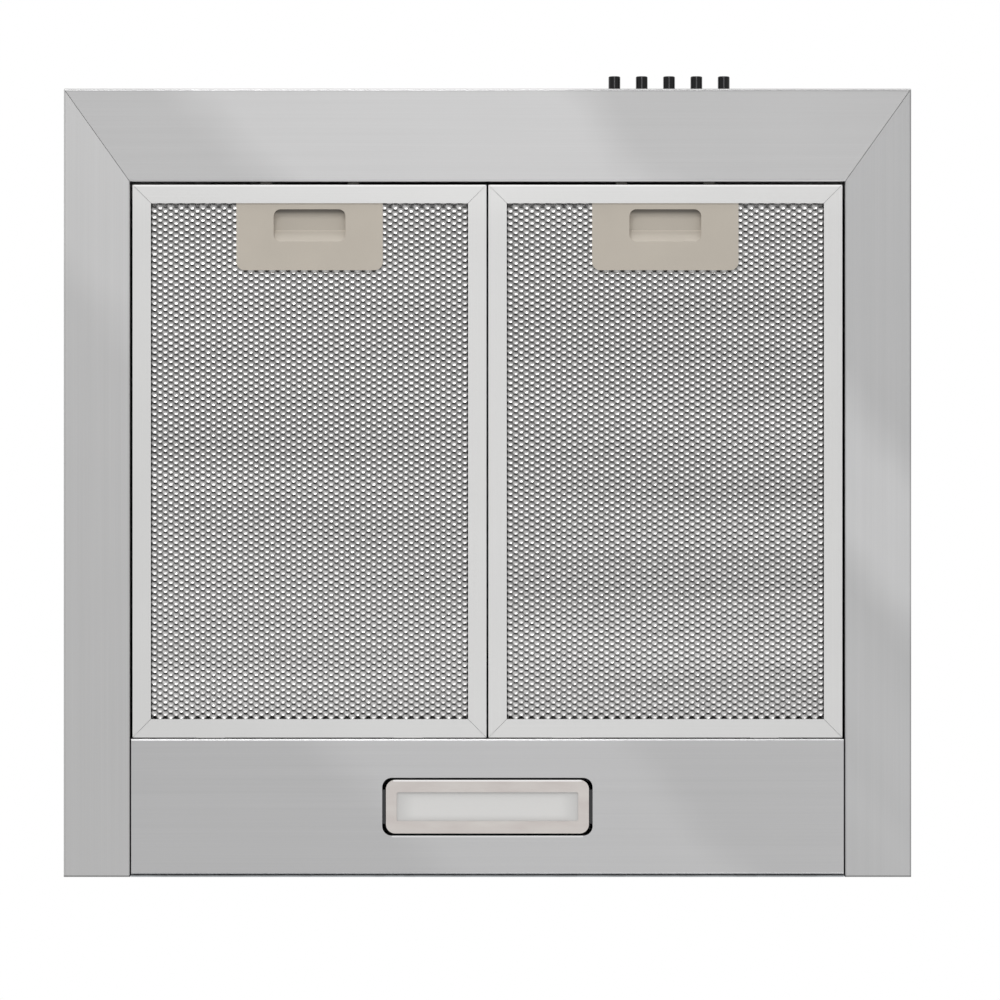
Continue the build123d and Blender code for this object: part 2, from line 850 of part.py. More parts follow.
# Push buttons, switch bank and bracket
band_inner = -hood_depth + sheet
bank_front = band_inner + bank_gap
bank_rear = bank_front + bank_depth
bank_half = (button_count - 1) / 2 * button_pitch + bank_margin
flange_rear = band_inner + button_flange_gap + button_flange_thickness
stem_rear = flange_rear + stem_length
pocket_rear = bank_front + bank_pocket
for number in range(button_count):
    x = button_place + (number - (button_count - 1) / 2) * button_pitch
    cap_length = flange_rear + hood_depth + button_reach
    with BuildPart() as button:
        with BuildSketch(wall_plane(-flange_rear, x, button_rise)):
            Circle(button_radius)
        extrude(amount=cap_length)
        fillet(button.edges().sort_by(Axis.Y)[0], button_edge)
        with BuildSketch(wall_plane(-flange_rear, x, button_rise)):
            Circle(button_flange)
        extrude(amount=button_flange_thickness)
        with BuildSketch(wall_plane(-flange_rear, x, button_rise)):
            Rectangle(stem_size, stem_size)
        extrude(amount=-stem_length)
    button.part.label = f"button_{number + 1}"
    export_step(button.part, f"parts/button_{number + 1}.step")

button_planes = [
    wall_plane(-bank_front, button_place + (place - (button_count - 1) / 2) * button_pitch, button_rise)
    for place in range(button_count)
]
with BuildPart() as switch_bank:
    block(
        (button_place - bank_half, bank_front, button_rise - bank_height / 2),
        (button_place + bank_half, bank_rear, button_rise + bank_height / 2),
    )
    with BuildSketch(*button_planes):
        Rectangle(stem_size + 2 * stem_clearance, stem_size + 2 * stem_clearance)
    extrude(amount=-bank_pocket, mode=Mode.SUBTRACT)
switch_bank.part.label = "switch_bank"
export_step(switch_bank.part, "parts/switch_bank.step")

with BuildPart() as button_springs:
    for plane in button_planes:
        start = (plane.origin.X, stem_rear + button_spring_wire, plane.origin.Z)
        length = pocket_rear - stem_rear - 2 * button_spring_wire
        add(coil(button_spring_radius, button_spring_wire, button_spring_pitch, length, start, (0, 1, 0)))
button_springs.part.label = "button_springs"
export_step(button_springs.part, "parts/button_springs.step")

bracket_half = bank_half + sheet_gap
bracket_corners = [
    (button_place - bracket_half - switch_bracket_sheet - switch_bracket_foot, band_inner),
    (button_place - bracket_half, band_inner),
    (button_place - bracket_half, bank_rear),
    (button_place + bracket_half, bank_rear),
    (button_place + bracket_half, band_inner),
    (button_place + bracket_half + switch_bracket_sheet + switch_bracket_foot, band_inner),
]
with BuildPart() as switch_bracket:
    with BuildSketch(Plane.XY.offset(button_rise - switch_bracket_height / 2)):
        with BuildLine():
            Polyline(*bracket_corners)
            offset(amount=switch_bracket_sheet, side=Side.LEFT)
        make_face()
    extrude(amount=switch_bracket_height)
switch_bracket.part.label = "switch_bracket"
export_step(switch_bracket.part, "parts/switch_bracket.step")

# Blower casing: a scroll in two halves with its outlet under the duct collar
casing_rear = back_sheet + mount_length
casing_front = casing_rear + casing_depth
outlet_top = blower_drop - sheet - sheet_gap
outlet_half = spigot_radius - spigot_wall
flare_low = outlet_top - flare_drop


def scroll_face(inset, outlet_run):
    """Outline of the scroll about its axis, from the front, moved inwards by an inset."""
    half_growth = scroll_half_growth
    with BuildSketch() as face:
        with BuildLine():
            first = CenterArc(
                (-half_growth, -half_growth),
                scroll_radius - inset,
                scroll_tongue_angle,
                180 - scroll_tongue_angle,
            )
            CenterArc((half_growth, -half_growth), scroll_radius + scroll_growth - inset, 180, 90)
            third = CenterArc(
                (half_growth, half_growth), scroll_radius + 2 * scroll_growth - inset, 270, 90
            )
            Polyline(
                third @ 1,
                (throat_right - inset, flare_low),
                (outlet_half - inset - blower_x, outlet_top + outlet_run),
                (inset - outlet_half - blower_x, outlet_top + outlet_run),
                first @ 0,
            )
        make_face()
    return face.sketch_local


def scroll_half(plate_depth, toward):
    """Half of the scroll casing: a side plate and the rim that runs to the middle."""
    half_depth = casing_depth / 2 - casing_split_gap / 2
    plate = wall_plane(plate_depth, blower_x, blower_z)
    floor = wall_plane(plate_depth + toward * casing_wall, blower_x, blower_z)
    with BuildPart() as half:
        with BuildSketch(plate):
            add(scroll_face(0, 0))
        extrude(amount=toward * half_depth)
        with BuildSketch(floor):
            add(scroll_face(casing_wall, overrun))
        extrude(amount=toward * half_depth, mode=Mode.SUBTRACT)
    return half.part


with BuildPart() as scroll_front:
    add(scroll_half(casing_front, -1))
    with Locations(wall_plane(casing_front, blower_x, blower_z)):
        Cylinder(inlet_radius, 2 * overrun, mode=Mode.SUBTRACT)
scroll_front.part.label = "scroll_front"
export_step(scroll_front.part, "parts/scroll_front.step")

with BuildPart() as scroll_rear:
    add(scroll_half(casing_rear, 1))
    with BuildSketch(wall_plane(casing_rear, blower_x, blower_z)):
        with Locations(*mount_places):
            Circle(mount_ear)
        add(scroll_face(0, 0), mode=Mode.SUBTRACT)
    extrude(amount=casing_wall)
    with Locations(*mount_planes):
        Cylinder(mount_screw + screw_clearance, 3 * casing_rear, mode=Mode.SUBTRACT)
scroll_rear.part.label = "scroll_rear"
export_step(scroll_rear.part, "parts/scroll_rear.step")

with BuildPart() as blower_mounts:
    with BuildSketch(wall_plane(back_sheet)):
        with Locations(*[(blower_x + x, blower_z + z) for x, z in mount_places]):
            Circle(mount_radius)
            Circle(mount_screw + screw_clearance, mode=Mode.SUBTRACT)
    extrude(amount=mount_length)
blower_mounts.part.label = "blower_mounts"
export_step(blower_mounts.part, "parts/blower_mounts.step")

mount_screw_length = casing_rear + casing_wall - back_sheet / 4
blower_screw = pan_screw(mount_screw, mount_screw_length, mount_screw_head, mount_screw_head_height)
mount_heads = [wall_plane(casing_rear + casing_wall, blower_x + x, blower_z + z) for x, z in mount_places]
with BuildPart() as blower_screws:
    with Locations(*mount_heads):
        add(blower_screw)
blower_screws.part.label = "blower_screws"
export_step(blower_screws.part, "parts/blower_screws.step")

with BuildPart() as inlet_guard:
    with BuildSketch(wall_plane(casing_front, blower_x, blower_z)):
        Circle(inlet_radius + guard_lap)
        Circle(inlet_radius, mode=Mode.SUBTRACT)
        for number in range(1, int(inlet_radius // guard_pitch) + 1):
            ring = inlet_radius - number * guard_pitch
            if ring > guard_hub + guard_ring:
                with BuildSketch(mode=Mode.PRIVATE) as guard_circle:
                    Circle(ring)
                    Circle(ring - guard_ring, mode=Mode.SUBTRACT)
                add(guard_circle.sketch)
        with PolarLocations(0, guard_spokes):
            Rectangle(inlet_radius + guard_ring, guard_ring, align=(Align.MIN, Align.CENTER))
        Circle(guard_hub)
    extrude(amount=guard_thickness)
inlet_guard.part.label = "inlet_guard"
export_step(inlet_guard.part, "parts/inlet_guard.step")

# Motor inside the impeller
motor_rear = casing_rear + casing_wall
motor_front = motor_rear + motor_length
boss_radius = bearing_radius + bearing_gap + bearing_boss
rear_bearing = motor_rear + motor_wall
front_bearing = motor_front - motor_wall - bearing_width
with BuildPart() as motor_can:
    with BuildSketch(wall_plane(motor_rear, blower_x, blower_z)):
        Circle(motor_radius)
    extrude(amount=motor_length)
    fillet(motor_can.edges().sort_by(Axis.Y)[0], 2 * motor_wall)
    with BuildSketch(wall_plane(motor_rear + motor_wall, blower_x, blower_z)):
        Circle(motor_radius - motor_wall)
    extrude(amount=motor_length - 2 * motor_wall, mode=Mode.SUBTRACT)
    for depth in (rear_bearing, front_bearing):
        with BuildSketch(wall_plane(depth, blower_x, blower_z)):
            Circle(boss_radius)
            Circle(bearing_radius + bearing_gap, mode=Mode.SUBTRACT)
        extrude(amount=bearing_width)
    with BuildSketch(wall_plane(motor_front - motor_wall, blower_x, blower_z)):
        Circle(shaft_radius + bearing_boss)
    extrude(amount=2 * motor_wall, mode=Mode.SUBTRACT)
motor_can.part.label = "motor_can"
export_step(motor_can.part, "parts/motor_can.step")

with BuildPart() as motor_bearings:
    for depth in (rear_bearing, front_bearing):
        with BuildSketch(wall_plane(depth, blower_x, blower_z)):
            Circle(bearing_radius)
            Circle(shaft_radius + running_gap, mode=Mode.SUBTRACT)
        extrude(amount=bearing_width)
motor_bearings.part.label = "motor_bearings"
export_step(motor_bearings.part, "parts/motor_bearings.step")

stator_rear = motor_rear + (motor_length - stator_length) / 2
with BuildPart() as motor_stator:
    with BuildSketch(wall_plane(stator_rear, blower_x, blower_z)):
        Circle(motor_radius - motor_wall - sheet_gap)
        Circle(stator_inner, mode=Mode.SUBTRACT)
    extrude(amount=stator_length)
motor_stator.part.label = "motor_stator"
export_step(motor_stator.part, "parts/motor_stator.step")

with BuildPart() as motor_rotor:
    with BuildSketch(wall_plane(stator_rear, blower_x, blower_z)):
        Circle(stator_inner - rotor_gap)
        Circle(shaft_radius + running_gap, mode=Mode.SUBTRACT)
    extrude(amount=stator_length)
motor_rotor.part.label = "motor_rotor"
export_step(motor_rotor.part, "parts/motor_rotor.step")

shaft_rear = rear_bearing + bearing_gap
with BuildPart() as motor_shaft:
    with BuildSketch(wall_plane(shaft_rear, blower_x, blower_z)):
        Circle(shaft_radius)
    extrude(amount=motor_front + shaft_end - shaft_rear)
    chamfer(motor_shaft.edges().sort_by(Axis.Y)[0], shaft_radius / 6)
motor_shaft.part.label = "motor_shaft"
export_step(motor_shaft.part, "parts/motor_shaft.step")

disc_rear = motor_front + impeller_disc_gap
blade_rear = motor_rear + impeller_end_gap
blade_front = casing_front - casing_wall - impeller_end_gap
blade_in = impeller_inner + blade_margin
blade_out = impeller_radius - blade_margin
blade_lead = math.radians(blade_lead_angle)
with BuildSketch() as blade_section:
    with BuildLine():
        RadiusArc(
            (blade_in, 0),
            (blade_out * math.cos(blade_lead), blade_out * math.sin(blade_lead)),
            blade_curve,
        )
        offset(amount=blade_thickness, side=Side.LEFT)
    make_face()
blade_low = blade_rear + impeller_ring + running_gap
blade_high = blade_front - impeller_ring - running_gap
with BuildPart() as impeller:
    with BuildSketch(wall_plane(blade_low, blower_x, blower_z)):
        with PolarLocations(0, blade_count):
            add(blade_section.sketch_local)
    extrude(amount=blade_high - blade_low)
    for depth in (blade_rear, blade_front - impeller_ring):
        with BuildSketch(wall_plane(depth, blower_x, blower_z)):
            Circle(impeller_radius)
            Circle(impeller_inner, mode=Mode.SUBTRACT)
        extrude(amount=impeller_ring)
    with BuildSketch(wall_plane(disc_rear, blower_x, blower_z)):
        Circle(impeller_inner - blade_margin)
    extrude(amount=impeller_disc)
    with BuildSketch(wall_plane(disc_rear, blower_x, blower_z)):
        Circle(hub_radius)
    extrude(amount=hub_length)
    with BuildSketch(wall_plane(disc_rear, blower_x, blower_z)):
        Circle(shaft_radius + running_gap)
    extrude(amount=hub_length, mode=Mode.SUBTRACT)
impeller.part.label = "impeller"
export_step(impeller.part, "parts/impeller.step")

with BuildPart() as impeller_nut:
    with BuildSketch(wall_plane(disc_rear + hub_length, blower_x, blower_z)):
        RegularPolygon(nut_size, 6)
        Circle(shaft_radius + running_gap, mode=Mode.SUBTRACT)
    extrude(amount=nut_height)
impeller_nut.part.label = "impeller_nut"
export_step(impeller_nut.part, "parts/impeller_nut.step")

# Duct collar on the dome with a two-leaf damper on one pin
damper_height = dome_top + damper_rise
bore_radius = spigot_radius - spigot_wall
with BuildPart() as outlet_collar:
    with BuildSketch(Plane(origin=duct_place)):
        Circle(spigot_radius + collar_flange)
        Circle(bore_radius, mode=Mode.SUBTRACT)
        with PolarLocations(collar_screw_circle, 4, start_angle=45):
            Circle(screw_shank + screw_clearance, mode=Mode.SUBTRACT)
    extrude(amount=collar_sheet)
    with BuildSketch(Plane(origin=duct_place)):
        Circle(spigot_radius)
        Circle(bore_radius, mode=Mode.SUBTRACT)
    extrude(amount=collar_sheet + spigot_height)
    ledge_low = damper_height - damper_thickness / 2 - sheet_gap - ledge_height
    with BuildSketch(Plane(origin=(0, -collar_depth, ledge_low))):
        Circle(bore_radius)
        Circle(bore_radius - ledge_width, mode=Mode.SUBTRACT)
    extrude(amount=ledge_height)
    with Locations(Plane(origin=(0, -collar_depth, damper_height), z_dir=(0, 1, 0))):
        Cylinder(damper_pin + running_gap, 3 * spigot_radius, mode=Mode.SUBTRACT)
outlet_collar.part.label = "outlet_collar"
export_step(outlet_collar.part, "parts/outlet_collar.step")

with BuildPart() as damper_pin_rod:
    with Locations(Plane(origin=(0, -collar_depth, damper_height), z_dir=(0, 1, 0))):
        Cylinder(damper_pin, 2 * (spigot_radius - running_gap))
damper_pin_rod.part.label = "damper_pin"
export_step(damper_pin_rod.part, "parts/damper_pin.step")

knuckle_radius = damper_pin + running_gap + knuckle_wall
flap_radius = bore_radius - damper_gap
knuckle_run = 2 * (flap_radius - knuckle_end_gap)
knuckle_length = knuckle_run / knuckle_count


def damper_leaf(side):
    """Half-moon leaf on one side of the pin, with every other knuckle its own."""
    low_z = damper_height - damper_thickness / 2
    leaf_plane = Plane(origin=(0, -collar_depth, low_z))
    pin_axis = Plane(origin=(0, -collar_depth, damper_height), z_dir=(0, 1, 0))
    first = 0 if side < 0 else 1
    with BuildPart() as leaf:
        with BuildSketch(leaf_plane):
            Circle(flap_radius)
            with Locations((side * (knuckle_radius + knuckle_gap), 0)):
                align_x = Align.MIN if side > 0 else Align.MAX
                Rectangle(
                    flap_radius, 2 * flap_radius, align=(align_x, Align.CENTER), mode=Mode.INTERSECT
                )
        extrude(amount=damper_thickness)
        for number in range(first, knuckle_count, 2):
            y = -collar_depth - knuckle_run / 2 + (number + 0.5) * knuckle_length
            half = (knuckle_length - knuckle_gap) / 2
            with Locations(Plane(origin=(0, y, damper_height), z_dir=(0, 1, 0))):
                Cylinder(knuckle_radius, 2 * half)
            inner, outer = sorted((0, side * (knuckle_radius + 2 * knuckle_gap)))
            block((inner, y - half, low_z), (outer, y + half, low_z + damper_thickness))
        with Locations(pin_axis):
            Cylinder(damper_pin + running_gap, 3 * spigot_radius, mode=Mode.SUBTRACT)
    return leaf.part


for side, word in ((-1, "left"), (1, "right")):
    damper = damper_leaf(side)
    damper.label = f"damper_{word}"
    export_step(damper, f"parts/damper_{word}.step")

# Self-tapping screws of the lamp panel and of the duct collar
body_screw = pan_screw(screw_shank, screw_length, screw_head, screw_head_height)
panel_screw = pan_screw(
    screw_shank, sheet + sheet_gap + back_sheet * 3 / 4, screw_head, screw_head_height
)
panel_heads = [
    wall_plane(back_sheet + sheet_gap + sheet, plane.origin.X, plane.origin.Z)
    for plane in panel_screw_planes
]
with BuildPart() as body_screws:
    with Locations(*panel_heads):
        add(panel_screw)
    with Locations((0, -collar_depth, dome_top + collar_sheet)):
        with PolarLocations(collar_screw_circle, 4, start_angle=45):
            add(body_screw)
body_screws.part.label = "body_screws"
export_step(body_screws.part, "parts/body_screws.step")

# Cable gland with its nut under the plate
with BuildPart() as mains_gland:
    with BuildSketch(Plane(origin=gland_place)):
        Circle(gland_flange)
    extrude(amount=gland_flange_height)
    fillet(mains_gland.edges().sort_by(Axis.Z)[-1], gland_flange_height / 3)
    with BuildSketch(Plane(origin=gland_place)):
        Circle(gland_stem)
    extrude(amount=-gland_stem_length)
    with BuildSketch(Plane(origin=(gland_x, -gland_depth, dome_top - sheet))):
        RegularPolygon(gland_flange, 6)
        Circle(gland_stem + running_gap, mode=Mode.SUBTRACT)
    extrude(amount=-gland_nut_height)
    with Locations(gland_place):
        Cylinder(gland_bore, 3 * gland_stem_length, mode=Mode.SUBTRACT)
mains_gland.part.label = "mains_gland"
export_step(mains_gland.part, "parts/mains_gland.step")

# Control box on the back plate, with its lid and the motor capacitor inside
box_low = (box_x, -back_sheet - box_depth, box_rise)
box_high = (box_x + box_width, -back_sheet, box_rise + box_height)
with BuildPart() as control_box:
    block(box_low, box_high)
    block(
        (box_low[0] + box_wall, box_low[1] - overrun, box_low[2] + box_wall),
        (box_high[0] - box_wall, box_high[1] - box_wall, box_high[2] - box_wall),
        mode=Mode.SUBTRACT,
    )
control_box.part.label = "control_box"
export_step(control_box.part, "parts/control_box.step")

with BuildPart() as control_box_lid:
    block(
        (box_low[0], box_low[1] - lid_thickness, box_low[2]),
        (box_high[0], box_low[1], box_high[2]),
    )
    rib_gap = box_wall + sheet_gap
    block(
        (box_low[0] + rib_gap, box_low[1], box_low[2] + rib_gap),
        (box_high[0] - rib_gap, box_low[1] + 2 * lid_rib, box_high[2] - rib_gap),
    )
    rib_inner = rib_gap + lid_rib
    block(
        (box_low[0] + rib_inner, box_low[1], box_low[2] + rib_inner),
        (box_high[0] - rib_inner, box_low[1] + 3 * lid_rib, box_high[2] - rib_inner),
        mode=Mode.SUBTRACT,
    )
control_box_lid.part.label = "control_box_lid"
export_step(control_box_lid.part, "parts/control_box_lid.step")

capacitor_low = box_rise + box_wall + capacitor_gap
capacitor_start = (box_x + (box_width - capacitor_length) / 2, -back_sheet - box_depth / 2)
capacitor_plane = Plane(
    origin=(capacitor_start[0], capacitor_start[1], capacitor_low + capacitor_radius),
    z_dir=(1, 0, 0),
)
with BuildPart() as capacitor:
    with BuildSketch(capacitor_plane):
        Circle(capacitor_radius)
    extrude(amount=capacitor_length)
    fillet(capacitor.edges().filter_by(GeomType.CIRCLE), capacitor_cap)
capacitor.part.label = "capacitor"
export_step(capacitor.part, "parts/capacitor.step")


# Chimney covers: two folded sheets, the upper one sliding inside the lower one
def chimney_cover(inset, low, height):
    """Folded cover, open to the wall, with narrow flanges along its rear edges."""
    half = chimney_width / 2 - inset
    corners = [
        (-half + chimney_flange, -inset),
        (-half, -inset),
        (-half, -chimney_depth + inset),
        (half, -chimney_depth + inset),
        (half, -inset),
        (half - chimney_flange, -inset),
    ]
    with BuildPart() as cover:
        with BuildSketch(Plane.XY.offset(low)):
            add(folded_sheet(corners, bend, sheet))
        extrude(amount=height)
    return cover.part


chimney_lower = chimney_cover(0, dome_top, chimney_lower_height)
chimney_lower.label = "chimney_lower"
export_step(chimney_lower, "parts/chimney_lower.step")

upper_inset = sheet + chimney_gap
upper_low = dome_top + chimney_lower_height + chimney_reveal - chimney_upper_height
upper_top = upper_low + chimney_upper_height
vent_centre = upper_top - vent_drop
bracket_middle = upper_top - wall_bracket_drop - wall_bracket_height / 2
tab_depth = wall_bracket_offset + wall_bracket_tab / 2
upper_side = chimney_width / 2 - upper_inset
with BuildPart() as chimney_upper:
    add(chimney_cover(upper_inset, upper_low, chimney_upper_height))
    with BuildSketch(Plane(origin=(0, -chimney_depth / 2, vent_centre), x_dir=(0, 1, 0), z_dir=(1, 0, 0))):
        with GridLocations(vent_length, vent_pitch, 1, vent_count):
            SlotOverall(vent_length, vent_width)
    extrude(amount=chimney_width, both=True, mode=Mode.SUBTRACT)
    with Locations(Plane(origin=(0, -tab_depth, bracket_middle), z_dir=(1, 0, 0))):
        Cylinder(screw_shank + screw_clearance, 2 * chimney_width, mode=Mode.SUBTRACT)
chimney_upper.part.label = "chimney_upper"
export_step(chimney_upper.part, "parts/chimney_upper.step")

web_half = upper_side - chimney_flange - wall_bracket_inset
tab_face = upper_side - sheet
tab_front = -(wall_bracket_offset + wall_bracket_tab)
hat_corners = [
    (-tab_face, tab_front),
    (-tab_face, -wall_bracket_offset),
    (-web_half, -wall_bracket_offset),
    (-web_half, 0),
    (web_half, 0),
    (web_half, -wall_bracket_offset),
    (tab_face, -wall_bracket_offset),
    (tab_face, tab_front),
]
with BuildPart() as chimney_bracket:
    with BuildSketch(Plane.XY.offset(bracket_middle - wall_bracket_height / 2)):
        with BuildLine():
            Polyline(*hat_corners)
            offset(amount=wall_bracket_sheet, side=Side.RIGHT)
        make_face()
    extrude(amount=wall_bracket_height)
    with Locations(wall_plane(0, 0, bracket_middle)):
        with GridLocations(bracket_hole_spread, bracket_hole_spread, 2, 1):
            Cylinder(bracket_hole, overrun, mode=Mode.SUBTRACT)
    with Locations(Plane(origin=(0, -tab_depth, bracket_middle), z_dir=(1, 0, 0))):
        Cylinder(screw_shank + screw_clearance, 2 * chimney_width, mode=Mode.SUBTRACT)
chimney_bracket.part.label = "chimney_bracket"
export_step(chimney_bracket.part, "parts/chimney_bracket.step")

with BuildPart() as chimney_screws:
    for side in (-1, 1):
        head = Plane(origin=(side * upper_side, -tab_depth, bracket_middle), z_dir=(side, 0, 0))
        with Locations(head):
            add(body_screw)
chimney_screws.part.label = "chimney_screws"
export_step(chimney_screws.part, "parts/chimney_screws.step")
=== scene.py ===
"""Looks of the wall-mounted range hood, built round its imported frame.

Metres. The wall is y = 0, the rim stands on z = 0, -Y is the front and +Z is up.
"""
import logging
import math
from dataclasses import dataclass, field
from enum import Enum
from typing import Any, Optional, Sequence, Union

import bmesh
import bpy
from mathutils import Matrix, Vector


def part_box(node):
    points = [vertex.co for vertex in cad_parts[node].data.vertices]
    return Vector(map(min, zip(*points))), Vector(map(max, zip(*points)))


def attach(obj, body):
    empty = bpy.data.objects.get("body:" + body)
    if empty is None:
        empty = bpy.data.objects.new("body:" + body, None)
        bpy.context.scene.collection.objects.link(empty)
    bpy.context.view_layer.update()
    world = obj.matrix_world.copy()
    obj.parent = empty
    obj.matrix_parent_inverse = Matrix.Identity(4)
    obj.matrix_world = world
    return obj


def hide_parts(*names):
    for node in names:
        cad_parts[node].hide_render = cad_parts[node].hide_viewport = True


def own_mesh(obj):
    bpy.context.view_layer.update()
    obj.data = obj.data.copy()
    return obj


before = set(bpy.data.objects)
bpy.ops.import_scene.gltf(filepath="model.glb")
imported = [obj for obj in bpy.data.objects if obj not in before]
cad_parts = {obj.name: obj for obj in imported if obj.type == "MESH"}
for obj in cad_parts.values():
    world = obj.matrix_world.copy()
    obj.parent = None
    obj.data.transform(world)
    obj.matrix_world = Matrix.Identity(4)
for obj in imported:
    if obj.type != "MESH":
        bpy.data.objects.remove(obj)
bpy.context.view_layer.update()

LOG = logging.getLogger("range_hood")
MM = 0.001

Socket = bpy.types.NodeSocket
Material = bpy.types.Material
Piece = bpy.types.Object
Colour = tuple[float, float, float]
Triple = tuple[float, float, float]
Amount = Union["Num", float]

WIRE_LINES: Triple = (900.0, 900.0, 900.0)
METAL = {"Metallic": 1.0}
WHITE = (1.0, 1.0, 1.0, 1.0)
NO_CUT: Triple = (-1.0, 0.0, -10.0)


class Side(Enum):
    """Which filter of the pair."""

    LEFT = "left"
    RIGHT = "right"


class Grain(Enum):
    """Direction in which a sheet was brushed."""

    ACROSS = (1.0, 0.0, 0.0)
    DEEP = (0.0, 1.0, 0.0)
    UPRIGHT = (0.0, 0.0, 1.0)


@dataclass(frozen=True)
class Num:
    """A number inside a node tree, on an output socket, which takes part in Python sums."""

    maker: "NodeMaker"
    socket: Socket

    def _math(self, operation: str, *values: Amount) -> "Num":
        """Result of one Math node."""
        return self.maker.number("ShaderNodeMath", dict(enumerate(values)), operation=operation)

    def __add__(self, other: Amount) -> "Num":
        """Sum."""
        return self._math("ADD", self, other)

    def __sub__(self, other: Amount) -> "Num":
        """Difference."""
        return self._math("SUBTRACT", self, other)

    def __rsub__(self, other: Amount) -> "Num":
        """Difference from a plain number."""
        return self._math("SUBTRACT", other, self)

    def __mul__(self, other: Amount) -> "Num":
        """Product."""
        return self._math("MULTIPLY", self, other)

    def __abs__(self) -> "Num":
        """Size without its sign."""
        return self._math("ABSOLUTE", self)

    def smaller(self, other: Amount) -> "Num":
        """The smaller of two numbers."""
        return self._math("MINIMUM", self, other)

    def larger(self, other: Amount) -> "Num":
        """The larger of two numbers."""
        return self._math("MAXIMUM", self, other)

    def beyond(self, other: Amount) -> "Num":
        """1 where this number is the larger one, else 0."""
        return self._math("GREATER_THAN", self, other)

    def swing(self, gain: float) -> "Num":
        """How far a noise is from its middle, times a gain."""
        return (self - 0.5) * gain

    def sine(self) -> "Num":
        """Sine of an angle in radians."""
        return self._math("SINE", self)

    def ramp(self, low: float, high: float, kind: str = "LINEAR") -> "Num":
        """0 up to low and 1 from high on, with a straight or another kind of rise between."""
        values = {"Value": self, "From Min": low, "From Max": high}
        return self.maker.number("ShaderNodeMapRange", values, interpolation_type=kind)

    def fade(self, low: float, high: float) -> "Num":
        """Soft step from 0 at low to 1 at high."""
        return self.ramp(low, high, "SMOOTHSTEP")


class NodeMaker:
    """A node tree with one way to add nodes, for shaders and for geometry."""

    tree: bpy.types.NodeTree

    def node(self, kind: str, values: Optional[dict[Any, Any]] = None, **settings: Any) -> bpy.types.Node:
        """Add a node, set it, then fill its sockets.

        Args:
            kind: Type of the node.
            values: Values or links by socket name or index, and all of a list.
            settings: Properties, set before the sockets.

        Returns:
            The new node.
        """
        made = self.tree.nodes.new(kind)
        for key, value in settings.items():
            setattr(made, key, value)
        for key, value in (values or {}).items():
            for one in value if isinstance(value, list) else [value]:
                one = one.socket if isinstance(one, Num) else one
                if isinstance(one, Socket):
                    self.tree.links.new(one, made.inputs[key])
                else:
                    made.inputs[key].default_value = one
        return made

    def number(self, kind: str, values: dict[Any, Any], **settings: Any) -> Num:
        """First output of a new node, as a number."""
        return Num(self, self.node(kind, values, **settings).outputs[0])


@dataclass(frozen=True)
class EdgeLine:
    """Thin line of light or shade along an edge of the underside."""

    start: float
    width: float
    gain: float
    top: float
    crosswise: bool = True
    reach: float = 1.0


